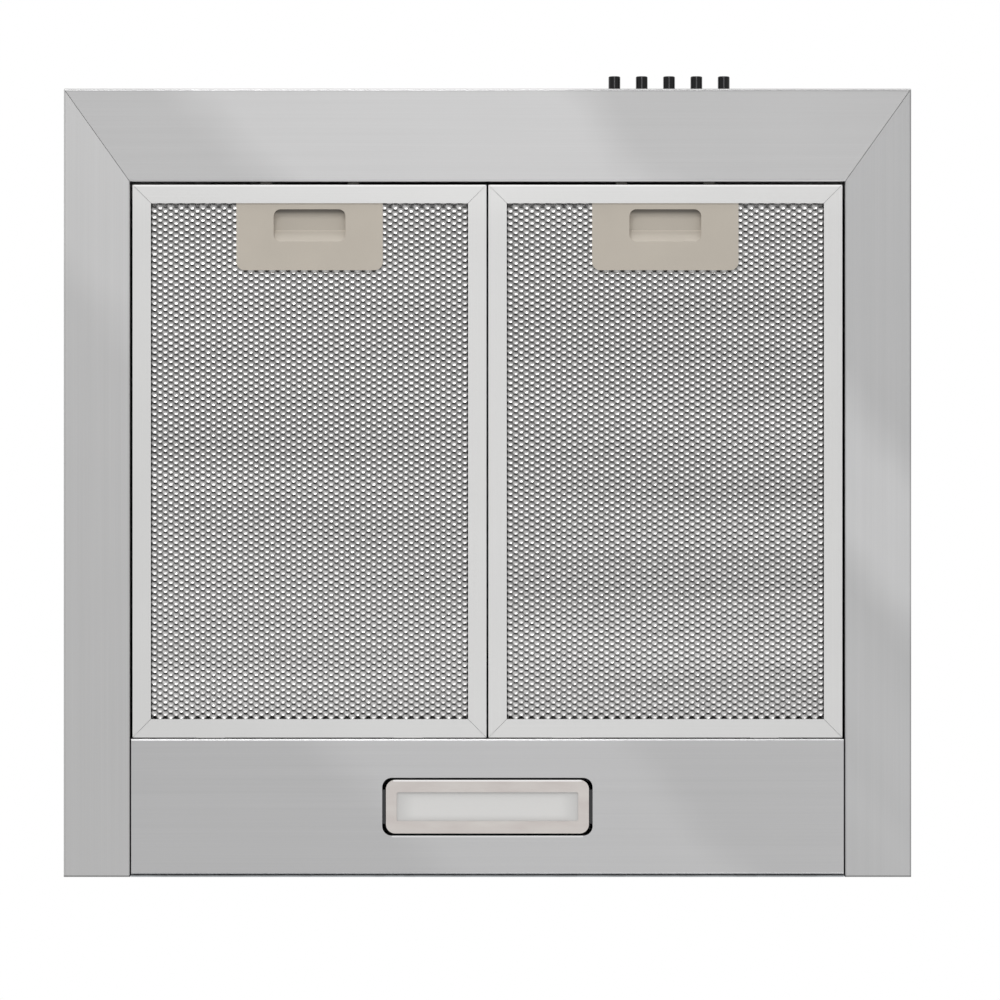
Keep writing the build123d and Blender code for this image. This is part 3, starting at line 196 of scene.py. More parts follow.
class Paint(NodeMaker):
    """Node tree of one material, or of the world, while it is made."""

    def __init__(self, name: str, world: bool = False) -> None:
        """Start with an empty tree.

        Args:
            name: Name of the material or world.
            world: Whether it is the world.
        """
        self.owner = (bpy.data.worlds if world else bpy.data.materials).new(name)
        self.owner.use_nodes = True
        self.tree = self.owner.node_tree
        self.tree.nodes.clear()

    def place(self) -> Socket:
        """Object coordinates of the surface."""
        return self.node("ShaderNodeTexCoord").outputs["Object"]

    def axes(self) -> tuple[Num, Num, Num]:
        """The object coordinates as three numbers."""
        parts = self.node("ShaderNodeSeparateXYZ", {0: self.place()})
        return tuple(Num(self, socket) for socket in parts.outputs)

    def stretch(self, scale: Triple, turn: Triple = (0.0, 0.0, 0.0)) -> Socket:
        """Object coordinates, scaled along each axis and turned by radians about each."""
        values = {"Vector": self.place(), "Rotation": turn, "Scale": scale}
        return self.node("ShaderNodeMapping", values).outputs[0]

    def noise(self, scale: float, detail: float = 2.0, vector: Optional[Socket] = None) -> Num:
        """Noise between 0 and 1, on the object's own coordinates if no others are given."""
        values = {"Vector": vector or self.place(), "Scale": scale, "Detail": detail}
        return self.number("ShaderNodeTexNoise", values)

    def cells(self, scale: float, vector: Optional[Socket] = None) -> Num:
        """A random number for each cell of a scattered net, on coordinates as for the noise."""
        made = self.node("ShaderNodeTexVoronoi", {"Vector": vector or self.place(), "Scale": scale})
        return self.number("ShaderNodeSeparateColor", {0: made.outputs["Color"]})

    def mark(self, name: str) -> Num:
        """A number stored on the mesh under a name."""
        return Num(self, self.node("ShaderNodeAttribute", attribute_name=name).outputs["Fac"])

    def line(self, edge: EdgeLine) -> Num:
        """Light or shade of a thin line along an edge.

        Args:
            edge: Where the line runs and how strong it is.

        Returns:
            What it adds.
        """
        across, deep, upward = self.axes()
        place, along = (deep, across) if edge.crosswise else (across, deep)
        soft = 0.3 * MM
        end = edge.start + edge.width
        band = place.fade(edge.start - soft, edge.start) - place.fade(end, end + soft)
        ends = abs(along).fade(edge.reach, edge.reach - soft)
        return band * ends * upward.fade(edge.top, edge.top - soft) * edge.gain

    def blend(self, amount: Amount, low: Any, high: Any) -> Socket:
        """Mix of two colours.

        Args:
            amount: Share of the second colour.
            low: First colour, plain or linked.
            high: Second colour, plain or linked.

        Returns:
            The mixed colour.
        """
        ends = [value if isinstance(value, Socket) else (*value, 1.0) for value in (low, high)]
        values = {"Factor": amount, 6: ends[0], 7: ends[1]}
        return self.node("ShaderNodeMix", values, data_type="RGBA").outputs[2]

    def tones(self, amount: Amount, colour: Colour, low: float, high: float) -> Socket:
        """Mix of two shares of one colour."""
        return self.blend(amount, tint(colour, low), tint(colour, high))

    def bump(self, height: Num, strength: float, distance: float) -> Socket:
        """Normal that follows a height, with a share of it and a depth in metres."""
        values = {"Strength": strength, "Distance": distance, "Height": height}
        return self.node("ShaderNodeBump", values).outputs[0]

    def finish(
        self, tone: Socket, rough: Num, normal: Optional[Socket], fixed: dict[str, float]
    ) -> Material:
        """Close the tree with its shader.

        Args:
            tone: Base colour.
            rough: Roughness.
            normal: Bumped normal, if there is one.
            fixed: What is the same all over.

        Returns:
            The finished material.
        """
        values = {"Base Color": tone, "Roughness": rough, **fixed}
        if normal:
            values["Normal"] = normal
        shader = self.node("ShaderNodeBsdfPrincipled", values)
        self.node("ShaderNodeOutputMaterial", {"Surface": shader.outputs[0]})
        return self.owner


def tint(colour: Colour, share: float) -> Colour:
    """A colour made darker or paler by a share."""
    return tuple(part * share for part in colour)


@dataclass(frozen=True)
class Finish:
    """Look of one material."""

    name: str

    def material(self) -> Material:
        """Build the material, each finish in its own way."""
        raise NotImplementedError


@dataclass(frozen=True)
class BrushedSteel(Finish):
    """Stainless sheet brushed in one direction, with slow diagonal stripes of painted sheen."""

    grain: Grain
    colour: Colour = (0.52, 0.517, 0.518)
    contrast: float = 0.13
    # stripes of painted sheen (low, high, gain) and lines of painted light or shade along edges
    sheen_bands: tuple[Triple, ...] = ()
    edges: tuple[EdgeLine, ...] = ()
    band_edge: float = 0.02
    hairs: tuple[float, float] = (5.0, 1500.0)
    streaks_and_sheen_bands: tuple[float, float] = (1.6, 210.0)

    def brushed(self, lines: tuple[float, float]) -> Triple:
        """Scale of the noise along and across the grain."""
        return tuple(lines[0] if part else lines[1] for part in self.grain.value)

    def material(self) -> Material:
        """Build the material.

        Returns:
            The new material.
        """
        paint = Paint(self.name)
        hair = paint.noise(1.0, 3.0, paint.stretch(self.brushed(self.hairs)))
        streak = paint.noise(1.0, 2.0, paint.stretch(self.brushed(self.streaks_and_sheen_bands)))
        smudge = paint.noise(9.0, 3.0)
        across, deep, upward = paint.axes()
        slope = across * 0.72 - deep * 0.70 + upward * 0.55 + smudge.swing(0.05)
        cloud = paint.noise(1.0, 2.0, paint.stretch((5.0, 5.0, 5.0)))
        grain = hair.swing(0.9) + streak.swing(0.7)
        shade = grain * self.contrast + cloud.swing(0.10) + 0.5
        # painted sheen: slow diagonal stripes of reflected light, paler or darker
        for low, high, gain in self.sheen_bands:
            rise, drop = (slope.fade(end - self.band_edge, end + self.band_edge) for end in (low, high))
            shade = shade + (rise - drop) * gain
        # painted light or shade in thin lines along the edges
        for edge in self.edges:
            shade = shade + paint.line(edge)
        pale = paint.tones(shade, self.colour, 0.5, 1.5)
        rough = grain * 0.10 + smudge.swing(0.06) + 0.36
        return paint.finish(pale, rough, paint.bump(hair, 0.16, 0.06 * MM), METAL)


@dataclass(frozen=True)
class RailAluminium(Finish):
    """Satin aluminium rail with fine drawn lines that turn at its mitres, a painted highlight along its front
    edge and painted shade over its hooks.
    """

    centre: tuple[float, float]
    half: tuple[float, float]
    colour: Colour = (0.67, 0.668, 0.662)
    lines: float = 2600.0
    drift: float = 6.0

    def material(self) -> Material:
        """Build the material.

        Returns:
            The new material.
        """
        paint = Paint(self.name)
        across, deep, _ = paint.axes()
        from_side = self.half[0] - abs(across - self.centre[0])
        from_end = self.half[1] - abs(deep - self.centre[1])
        edge = from_side.smaller(from_end)
        point = paint.node("ShaderNodeCombineXYZ", {0: edge * self.lines, 1: (across + deep) * self.drift})
        drawn = paint.noise(1.0, 2.0, point.outputs[0])
        cloud = paint.noise(14.0)
        inward = abs(across).fade(0.26, 0.0) * 0.04 + deep.fade(-0.46, -0.49) * 0.05
        front = self.centre[1] - self.half[1]
        # painted highlight along the rail's front edge
        lit = paint.line(EdgeLine(front - 0.5 * MM, width=1.5 * MM, gain=0.26, top=3.2 * MM))
        shade = drawn.swing(0.10) + cloud.swing(0.06) + inward + lit + 0.49
        rail = paint.tones(shade, self.colour, 0.4, 1.6)
        # painted shade over the hooks beyond the rail's outline, where the gap lies in shade
        painted_hook_shade = (edge * -1.0).fade(0.0, 0.2 * MM)
        pale = paint.blend(painted_hook_shade, rail, tint(self.colour, 0.18))
        rough = drawn.swing(0.08) + 0.42
        return paint.finish(pale, rough, paint.bump(drawn, 0.12, 0.05 * MM), METAL)


@dataclass(frozen=True)
class MeshAluminium(Finish):
    """Expanded aluminium: painted sheen on the cups' faces, painted shade on the net and on the cups' front
    halves, with slow stripes.
    """

    # ends of the painted light: the lit faces and the net in shade
    bright: Colour = (0.80, 0.79, 0.782)
    deep: Colour = (0.05, 0.049, 0.048)
    # share of painted sheen that the cups' front halves keep, more towards the rear
    front_light: float = 0.29
    rear_gain: float = 0.27
    facets: float = 190.0

    def material(self) -> Material:
        """Build the material.

        Returns:
            The new material.
        """
        paint = Paint(self.name)
        painted_sheen, front = paint.mark("sheen"), paint.mark("front")
        _, deep, _ = paint.axes()
        # painted shade on the cups' front halves, lighter towards the rear of the hood
        turn = deep.fade(-0.34, -0.10) * self.rear_gain + self.front_light
        # painted glints: random brightness per facet, with slow stripes of it
        glint = paint.cells(self.facets)
        sheen_bands = paint.noise(1.0, 2.0, paint.stretch((1.6, 24.0, 1.0), (0.0, 0.0, 0.06)))
        uneven = glint.swing(0.14) + sheen_bands.swing(0.55) + 0.96
        # painted sheen and shade stored on the mesh, made uneven by the glints and stripes
        shade = painted_sheen * uneven * (1.0 - front * (1.0 - turn))
        pale = paint.blend(shade, self.deep, self.bright)
        return paint.finish(pale, glint.swing(0.16) + 0.34, None, METAL)


@dataclass(frozen=True)
class PleatedFoil(Finish):
    """Crinkled foil of the filter core."""

    colour: Colour = (0.30, 0.295, 0.29)

    def material(self) -> Material:
        """Build the material.

        Returns:
            The new material.
        """
        paint = Paint(self.name)
        crinkle = paint.noise(420.0, 3.0)
        pale = paint.tones(paint.cells(260.0), self.colour, 0.6, 1.4)
        normal = paint.bump(crinkle, 0.6, 0.5 * MM)
        return paint.finish(pale, crinkle * 0.2 + 0.3, normal, METAL)


@dataclass(frozen=True)
class ZincSheet(Finish):
    """Galvanised sheet with its crystal pattern."""

    colour: Colour = (0.40, 0.415, 0.43)

    def material(self) -> Material:
        """Build the material.

        Returns:
            The new material.
        """
        paint = Paint(self.name)
        crystal = paint.cells(75.0)
        small = paint.cells(190.0, paint.stretch((1.0, 1.0, 1.0), (0.4, 0.7, 0.2)))
        dust = paint.noise(900.0)
        shade = crystal * 0.5 + small * 0.25 + dust * 0.25
        pale = paint.tones(shade, self.colour, 0.78, 1.22)
        return paint.finish(pale, shade * 0.22 + 0.36, paint.bump(dust, 0.1, 0.1 * MM), {"Metallic": 0.85})


@dataclass(frozen=True)
class MouldedPlastic(Finish):
    """Moulded plastic with a fine spark-eroded texture."""

    colour: Colour
    roughness: float = 0.5
    grain: float = 0.25

    def tone(self, paint: Paint, fine: Num, flow: Num) -> Socket:
        """Colour of the surface from its fine and its slow noise."""
        shade = flow.swing(0.5) + fine.swing(0.3) + 0.5
        return paint.tones(shade, self.colour, 0.86, 1.12)

    def material(self) -> Material:
        """Build the material.

        Returns:
            The new material.
        """
        paint = Paint(self.name)
        fine, flow = paint.noise(2600.0), paint.noise(22.0, 3.0)
        rough = fine.swing(0.12) + flow.swing(0.1) + self.roughness
        return paint.finish(self.tone(paint, fine, flow), rough, paint.bump(fine, self.grain, 0.08 * MM), {})


@dataclass(frozen=True, kw_only=True)
class LatchPlastic(MouldedPlastic):
    """Beige plastic of a latch: painted shade under the front of its pocket and over its tongues."""

    edge: float
    face: float
    pocket: float
    crease: float = 15.0 * MM
    colour: Colour = (0.52, 0.472, 0.405)
    roughness: float = 0.46
    grain: float = 0.12

    def tone(self, paint: Paint, fine: Num, flow: Num) -> Socket:
        """Colour of the surface, with painted shade in its pocket and a painted highlight where the pocket's
        floor begins to rise.

        Args:
            paint: Tree that gets it.
            fine: Noise of the eroded texture.
            flow: Slow noise of the moulding.

        Returns:
            The colour.
        """
        _, deep, high = paint.axes()
        start = self.edge + self.pocket
        rise = start + self.crease
        hollow = high.fade(self.face + 0.8 * MM, self.face + 2.6 * MM)
        front = deep.fade(start + 4.0 * MM, start + 1.0 * MM)
        floor = deep.fade(rise, rise - 0.6 * MM)
        line = deep.fade(rise - 0.6 * MM, rise - 0.1 * MM) - deep.fade(rise + 0.1 * MM, rise + 0.8 * MM)
        # painted shade at the front and on the floor of the pocket, less a painted highlight along the crease
        shaded = hollow * (front * 0.62 + floor * 0.04 - line * 0.2)
        shade = flow.swing(0.17) + fine.swing(0.10) + 0.827 - shaded
        pocket_shaded_tone = paint.tones(shade, self.colour, 0.2, 1.17)
        # painted shade over the tongues, which sit deep in the shaded gap
        painted_tongue_shade = deep.fade(self.edge - 7.0 * MM, self.edge - 9.0 * MM)
        return paint.blend(painted_tongue_shade, pocket_shaded_tone, tint(self.colour, 0.13))


@dataclass(frozen=True)
class GlossPlastic(Finish):
    """Polished plastic with faint moulding waves."""

    colour: Colour
    specular: float = 0.5

    def tone(self, paint: Paint, wave: Num) -> Socket:
        """Colour of the surface from its moulding waves."""
        return paint.tones(wave, self.colour, 0.8, 1.3)

    def material(self) -> Material:
        """Build the material.

        Returns:
            The new material.
        """
        paint = Paint(self.name)
        wave = paint.noise(120.0, 1.0)
        rough = paint.noise(4000.0, 1.0).fade(0.6, 0.8) * 0.12 + 0.14
        normal = paint.bump(wave, 0.05, 0.2 * MM)
        return paint.finish(self.tone(paint, wave), rough, normal, {"Specular IOR Level": self.specular})


@dataclass(frozen=True, kw_only=True)
class ButtonPlastic(GlossPlastic):
    """Black button cap with painted grey reflections at its sides and a thin painted highlight along its
    middle.
    """

    middle: float
    radius: float
    colour: Colour = (0.006, 0.006, 0.007)
    # colour of the painted reflections and highlight
    tone_and_sheen: Colour = (0.16, 0.16, 0.165)
    specular: float = 0.22
    reflection_from: float = 0.62
    highlight_half: float = 0.6 * MM

    def tone(self, paint: Paint, wave: Num) -> Socket:
        """Colour of the surface, with painted reflections at its sides and a painted highlight along its
        middle.

        Args:
            paint: Tree that gets it.
            wave: Noise of the moulding waves.

        Returns:
            The colour.
        """
        away = abs(paint.axes()[0] - self.middle)
        # painted reflection towards the sides and painted highlight along the middle
        side_reflection = away.fade(self.radius * self.reflection_from, self.radius)
        tone_and_sheen = side_reflection * 0.5 + away.fade(self.highlight_half, self.highlight_half / 3) * 0.55
        return paint.blend(tone_and_sheen + wave.swing(0.06), self.colour, self.tone_and_sheen)


@dataclass(frozen=True)
class SatinTrim(Finish):
    """Plated lamp trim with a warm cast, soft clouds and a painted highlight along its front edge."""

    front: EdgeLine
    colour: Colour = (0.60, 0.535, 0.515)
    cloudy: Colour = (0.62, 0.60, 0.57)
    # colour of the painted highlight
    lit: Colour = (0.95, 0.94, 0.93)

    def material(self) -> Material:
        """Build the material.

        Returns:
            The new material.
        """
        paint = Paint(self.name)
        cloud = paint.noise(1.0, 3.0, paint.stretch((30.0, 90.0, 90.0)))
        fine = paint.noise(1800.0)
        tone_and_sheen = paint.blend(cloud, tint(self.colour, 0.86), tint(self.cloudy, 1.1))
        # painted highlight along the trim's front edge
        tone = paint.blend(paint.line(self.front), tone_and_sheen, self.lit)
        rough = fine.swing(0.1) + 0.36
        return paint.finish(tone, rough, paint.bump(fine, 0.08, 0.06 * MM), {"Metallic": 0.75})


@dataclass(frozen=True)
class FrostedLens(Finish):
    """Frosted diffuser with painted shade towards its edges, paler in its middle."""

    middle: tuple[float, float]
    half: tuple[float, float]
    colour: Colour = (0.735, 0.728, 0.715)
    # how far in from the sides and the ends the painted shade reaches
    side_fade: float = 14.0 * MM
    end_fade: float = 5.0 * MM

    def material(self) -> Material:
        """Build the material.

        Returns:
            The new material.
        """
        paint = Paint(self.name)
        across, deep, _ = paint.axes()
        from_side = (self.half[0] - abs(across - self.middle[0])).fade(0.0, self.side_fade)
        from_end = (self.half[1] - abs(deep - self.middle[1])).fade(0.0, self.end_fade)
        frost = paint.noise(1500.0)
        # painted shade towards the edges of the lens
        core = from_side * from_end * 0.8 + frost * 0.2
        tone = paint.tones(core, self.colour, 0.84, 1.03)
        return paint.finish(tone, frost * 0.12 + 0.3, paint.bump(frost, 0.1, 0.05 * MM), {"Coat Weight": 0.2})


@dataclass(frozen=True)
class TurnedSteel(Finish):
    """Bright turned or drawn steel with fine lines."""

    lines: Triple
    colour: Colour = (0.50, 0.50, 0.51)
    roughness: float = 0.24

    def material(self) -> Material:
        """Build the material.

        Returns:
            The new material.
        """
        paint = Paint(self.name)
        cut = paint.noise(1.0, 3.0, paint.stretch(self.lines))
        stain = paint.noise(160.0, 3.0)
        tone = paint.tones(cut * 0.6 + stain * 0.4, self.colour, 0.78, 1.2)
        rough = stain * 0.14 + self.roughness
        return paint.finish(tone, rough, paint.bump(cut, 0.15, 0.08 * MM), METAL)


@dataclass(frozen=True)
class Rubber(Finish):
    """Matt rubber with a dusty bloom."""

    colour: Colour = (0.022, 0.022, 0.023)

    def material(self) -> Material:
        """Build the material.

        Returns:
            The new material.
        """
        paint = Paint(self.name)
        bloom, fine = paint.noise(90.0, 4.0), paint.noise(1400.0)
        tone = paint.tones(bloom.fade(0.4, 0.8), self.colour, 1.0, 2.4)
        normal = paint.bump(fine, 0.25, 0.2 * MM)
        return paint.finish(tone, bloom * 0.15 + 0.7, normal, {"Specular IOR Level": 0.3})


@dataclass(frozen=True)
class Laminated(Finish):
    """Stack of iron sheets, edge on, with an oiled tone."""

    colour: Colour = (0.14, 0.125, 0.115)
    waves: float = 12566.0

    def material(self) -> Material:
        """Build the material.

        Returns:
            The new material.
        """
        paint = Paint(self.name)
        edges = (paint.axes()[1] * self.waves).sine() * 0.5 + 0.5
        oil = paint.noise(130.0, 3.0)
        tone = paint.tones(edges * 0.6 + oil * 0.4, self.colour, 0.6, 1.5)
        return paint.finish(tone, oil * 0.2 + 0.35, paint.bump(edges, 0.3, 0.1 * MM), {"Metallic": 0.8})


Looks = dict[Finish, tuple[str, ...]]


class SubAssembly:
    """Part of the hood whose carried-over pieces get finishes."""

    def looks(self) -> Looks:
        """Finishes of the sub-assembly with the nodes that get each."""
        raise NotImplementedError

    def extras(self) -> None:
        """Build what stands for some nodes, where there is such a thing."""

    def build(self) -> None:
        """Give every carried-over piece its finish, then build the rest."""
        for finish, names in self.looks().items():
            material = finish.material()
            for name in names:
                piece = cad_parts[name]
                if not piece.material_slots:
                    piece.data.materials.append(material)
                for slot in piece.material_slots:
                    slot.material = material
                LOG.info("dressed %s with %s", name, material.name)
        self.extras()
        LOG.info("finished %s", type(self).__name__)


@dataclass
class NodeTree(NodeMaker):
    """A Geometry Nodes tree while it is made."""

    name: str
    sizes: dict[str, float]
    counts: dict[str, int]
    tree: bpy.types.NodeTree = field(init=False)
    start: bpy.types.Node = field(init=False)
    identifiers: dict[str, str] = field(init=False, default_factory=dict)
    last_weld: float = 0.02 * MM

    def __post_init__(self) -> None:
        """Open the tree with its named inputs."""
        self.tree = bpy.data.node_groups.new(self.name, "GeometryNodeTree")
        face = self.tree.interface
        face.new_socket("Geometry", in_out="INPUT", socket_type="NodeSocketGeometry")
        kinds = {**dict.fromkeys(self.sizes, "Float"), **dict.fromkeys(self.counts, "Int")}
        for name, kind in {**kinds, "Shape": "Object", "Finish": "Material"}.items():
            made = face.new_socket(name, in_out="INPUT", socket_type=f"NodeSocket{kind}")
            self.identifiers[name] = made.identifier
        face.new_socket("Geometry", in_out="OUTPUT", socket_type="NodeSocketGeometry")
        self.start = self.tree.nodes.new("NodeGroupInput")

    def value(self, name: str) -> Num:
        """A named input as a number."""
        return Num(self, self.start.outputs[name])

    def point(self, *parts: Any) -> Socket:
        """A vector of three parts, plain or linked."""
        return self.node("ShaderNodeCombineXYZ", dict(enumerate(parts))).outputs[0]

    def weld(self, geometry: Socket, reach: float) -> Socket:
        """Realize the instances and merge the points that are within reach of each other."""
        real = self.node("GeometryNodeRealizeInstances", {"Geometry": geometry}).outputs[0]
        return self.node("GeometryNodeMergeByDistance", {"Geometry": real, "Distance": reach}).outputs[0]

    def close(self, geometry: Socket) -> None:
        """End with Realize Instances, Set Material and the output.

        Args:
            geometry: What the tree made.
        """
        welded = self.weld(geometry, self.last_weld)
        smooth = self.node("GeometryNodeSetShadeSmooth", {"Geometry": welded}).outputs[0]
        dressed = self.node("GeometryNodeSetMaterial", {"Geometry": smooth, "Material": self.value("Finish")})
        self.node("NodeGroupOutput", {0: dressed.outputs[0]})

    def run(self, name: str, finish: Material, shape: Optional[Piece] = None) -> Piece:
        """Evaluate the tree on an empty mesh and keep the result as a plain mesh.

        Args:
            name: Name of the new piece.
            finish: Material of the piece.
            shape: Object that is repeated, if there is one.

        Returns:
            The new piece, at the origin.
        """
        piece = bpy.data.objects.new(name, bpy.data.meshes.new(name))
        bpy.context.scene.collection.objects.link(piece)
        modifier = piece.modifiers.new(name, "NODES")
        modifier.node_group = self.tree
        for key, value in {**self.sizes, **self.counts, "Shape": shape, "Finish": finish}.items():
            modifier[self.identifiers[key]] = value
        bpy.context.view_layer.update()
        evaluated = piece.evaluated_get(bpy.context.evaluated_depsgraph_get())
        mesh = bpy.data.meshes.new_from_object(evaluated)
        piece.modifiers.remove(modifier)
        piece.data = mesh
        mesh.name = name
        return piece


@dataclass(frozen=True)
class MeshCell:
    """One cup of the expanded sheet with its share of the net and its slit."""

    width: float = 7.57 * MM
    depth: float = 4.35 * MM
    face_radius: float = 2.06 * MM
    rise: float = 0.62 * MM
    sides: int = 12
    net_lift: float = 0.1 * MM
    front_share: float = 0.70
    rear_share: float = 0.93
    crown_share: float = 0.58
    crown_wide: float = 1.42
    # painted sheen: the net in shade, the cup's rim half lit, the front halves darker
    net_shine: float = 0.12
    rim_shine: float = 0.57
    front_shine: float = 0.8
    corners: int = 6
    open_side: int = 4

    def outline(self) -> list[tuple[float, float]]:
        """Six corners of the cell, which meet its neighbours' corners."""
        third, sixth, half = self.width / 3, self.width / 6, self.depth / 2
        return [(third, 0), (sixth, half), (-sixth, half), (-third, 0), (-sixth, -half), (sixth, -half)]

    def cup_point(
        self, shape: bmesh.types.BMesh, angle: float, place: Triple, wide: float = 1.0
    ) -> bmesh.types.BMVert:
        """Add a vertex of the cup and mark how it shines.

        Args:
            shape: Mesh that gets it.
            angle: Its direction from the cup's middle.
            place: Its radius, its height and its painted sheen.
            wide: How much further out it is sideways.

        Returns:
            The new vertex.
        """
        radius, lift, shine = place
        frontal = math.sin(angle) < -0.1
        share = self.front_share if frontal else self.rear_share
        made = shape.verts.new((radius * math.cos(angle) * wide, radius * math.sin(angle) * share, lift))
        marks = shape.verts.layers.float
        # painted sheen, lowered on the cup's front half
        made[marks["sheen"]] = shine * (self.front_shine if frontal else 1.0)
        made[marks["front"]] = 0.5 - 0.5 * math.sin(angle)
        return made

    def build(self, name: str) -> Piece:
        """Build the cell as an object that is only used for repeats.

        Args:
            name: Name of the object.

        Returns:
            The hidden cell.
        """
        mesh = bpy.data.meshes.new(name)
        shape = bmesh.new()
        for mark in ("sheen", "front"):
            shape.verts.layers.float.new(mark)
        net = [shape.verts.new((x, y, 0.0)) for x, y in self.outline()]
        # the net gets a low painted sheen, as shade
        for one in net:
            one[shape.verts.layers.float["sheen"]] = self.net_shine
        count = self.sides
        rim_place = (self.face_radius, self.net_lift, self.rim_shine)
        base = [self.cup_point(shape, 2 * math.pi * number / count, rim_place) for number in range(count)]
        crown_place = (self.face_radius * self.crown_share, self.rise, 1.0)
        turn = math.pi / 3
        crown = [
            self.cup_point(shape, turn * number, crown_place, self.crown_wide)
            for number in range(self.corners)
        ]
        step = count // self.corners
        for number in range(self.corners):
            after = (number + 1) % self.corners
            ring = [base[(number * step + part) % count] for part in range(step + 1)]
            if number != self.open_side:
                shape.faces.new([net[number], *ring, net[after]])
            shape.faces.new([crown[number], crown[after], *reversed(ring)])
        shape.faces.new(list(reversed(crown)))
        bmesh.ops.triangulate(shape, faces=shape.faces[:])
        bmesh.ops.recalc_face_normals(shape, faces=shape.faces[:])
        if sum(one.normal.z for one in shape.faces) > 0:
            bmesh.ops.reverse_faces(shape, faces=shape.faces[:])
        shape.to_mesh(mesh)
        shape.free()
        return bpy.data.objects.new(name, mesh)


@dataclass
class ExpandedSheet:
    """Fine expanded sheet that stands for one plain net of the frame."""

    node: str
    body: str
    finish: Material
    cut: Optional[Triple]
    facing: float = 1.0
    cell: MeshCell = MeshCell()
    rim: float = 11.0 * MM
    cell_weld: float = 0.03 * MM
    unevenness: float = 260.0
    highest_lift: float = 0.34 * MM
    seed: int = 7

    def tree(self, low: Vector, high: Vector) -> NodeTree:
        """Make the tree that lays two staggered grids of cells.

        Args:
            low: Low corner of the net.
            high: High corner of the net.

        Returns:
            The tree, ready to run.
        """
        room_x = high.x - low.x - 2 * self.rim
        room_y = high.y - low.y - 2 * self.rim
        columns = int(room_x / self.cell.width) + 1
        rows = int(room_y / self.cell.depth) + 1
        cut_half, cut_middle, cut_rear = self.cut or NO_CUT
        tree = NodeTree(
            f"{self.node}_tree",
            {
                "Pitch Across": self.cell.width,
                "Pitch Deep": self.cell.depth,
                "Middle X": (low.x + high.x) / 2,
                "Middle Y": (low.y + high.y) / 2,
                "Sheet Z": low.z if self.facing > 0 else high.z,
                "Cut Middle": cut_middle,
                "Cut Half": cut_half,
                "Cut Rear": cut_rear,
            },
            {"Columns": columns, "Rows": rows, "Seed": self.seed},
        )
        grids = []
        for shift in (0, 1):
            size = {}
            for axis, pitch, count in (("X", "Pitch Across", "Columns"), ("Y", "Pitch Deep", "Rows")):
                number = tree.value(count) - shift
                size[f"Size {axis}"] = (number - 1.0) * tree.value(pitch)
                size[f"Vertices {axis}"] = number
            grids.append(tree.node("GeometryNodeMeshGrid", size).outputs["Mesh"])
        joined = tree.node("GeometryNodeJoinGeometry", {0: grids})
        place = tree.point(*(tree.value(name) for name in ("Middle X", "Middle Y", "Sheet Z")))
        values = {"Geometry": joined.outputs[0], "Translation": place}
        moved = tree.node("GeometryNodeTransform", values)
        position = tree.node("GeometryNodeInputPosition")
        parts = tree.node("ShaderNodeSeparateXYZ", {0: position.outputs[0]})
        across, deep = Num(tree, parts.outputs[0]), Num(tree, parts.outputs[1])
        aside = abs(across - tree.value("Cut Middle")).beyond(tree.value("Cut Half"))
        shape = tree.node("GeometryNodeObjectInfo", {"Object": tree.value("Shape")})
        laid = tree.node(
            "GeometryNodeInstanceOnPoints",
            {
                "Points": moved.outputs[0],
                "Selection": aside.larger(deep.beyond(tree.value("Cut Rear"))),
                "Instance": shape.outputs["Geometry"],
                "Scale": (1.0, 1.0, self.facing),
            },
        )
        welded = tree.weld(laid.outputs[0], self.cell_weld)
        flip = tree.node("GeometryNodeFlipFaces", {"Mesh": welded, "Selection": self.facing < 0})
        values = {"W": tree.value("Seed"), "Scale": self.unevenness, "Detail": 1.0}
        seeded = tree.number("ShaderNodeTexNoise", values, noise_dimensions="4D")
        lift = seeded.ramp(0.2, 0.8) * (self.facing * self.highest_lift)
        values = {"Geometry": flip.outputs[0], "Offset": tree.point(0.0, 0.0, lift)}
        tree.close(tree.node("GeometryNodeSetPosition", values).outputs[0])
        return tree

    def build(self) -> None:
        """Build the sheet and let it stand for its node."""
        low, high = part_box(self.node)
        shape = self.cell.build(f"{self.node}_cell")
        tree = self.tree(low, high)
        piece = tree.run(f"{self.node}_fine", self.finish, shape)
        bpy.data.objects.remove(shape)
        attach(piece, self.body)
        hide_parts(self.node)
        LOG.info("built %s with %d faces", piece.name, len(piece.data.polygons))


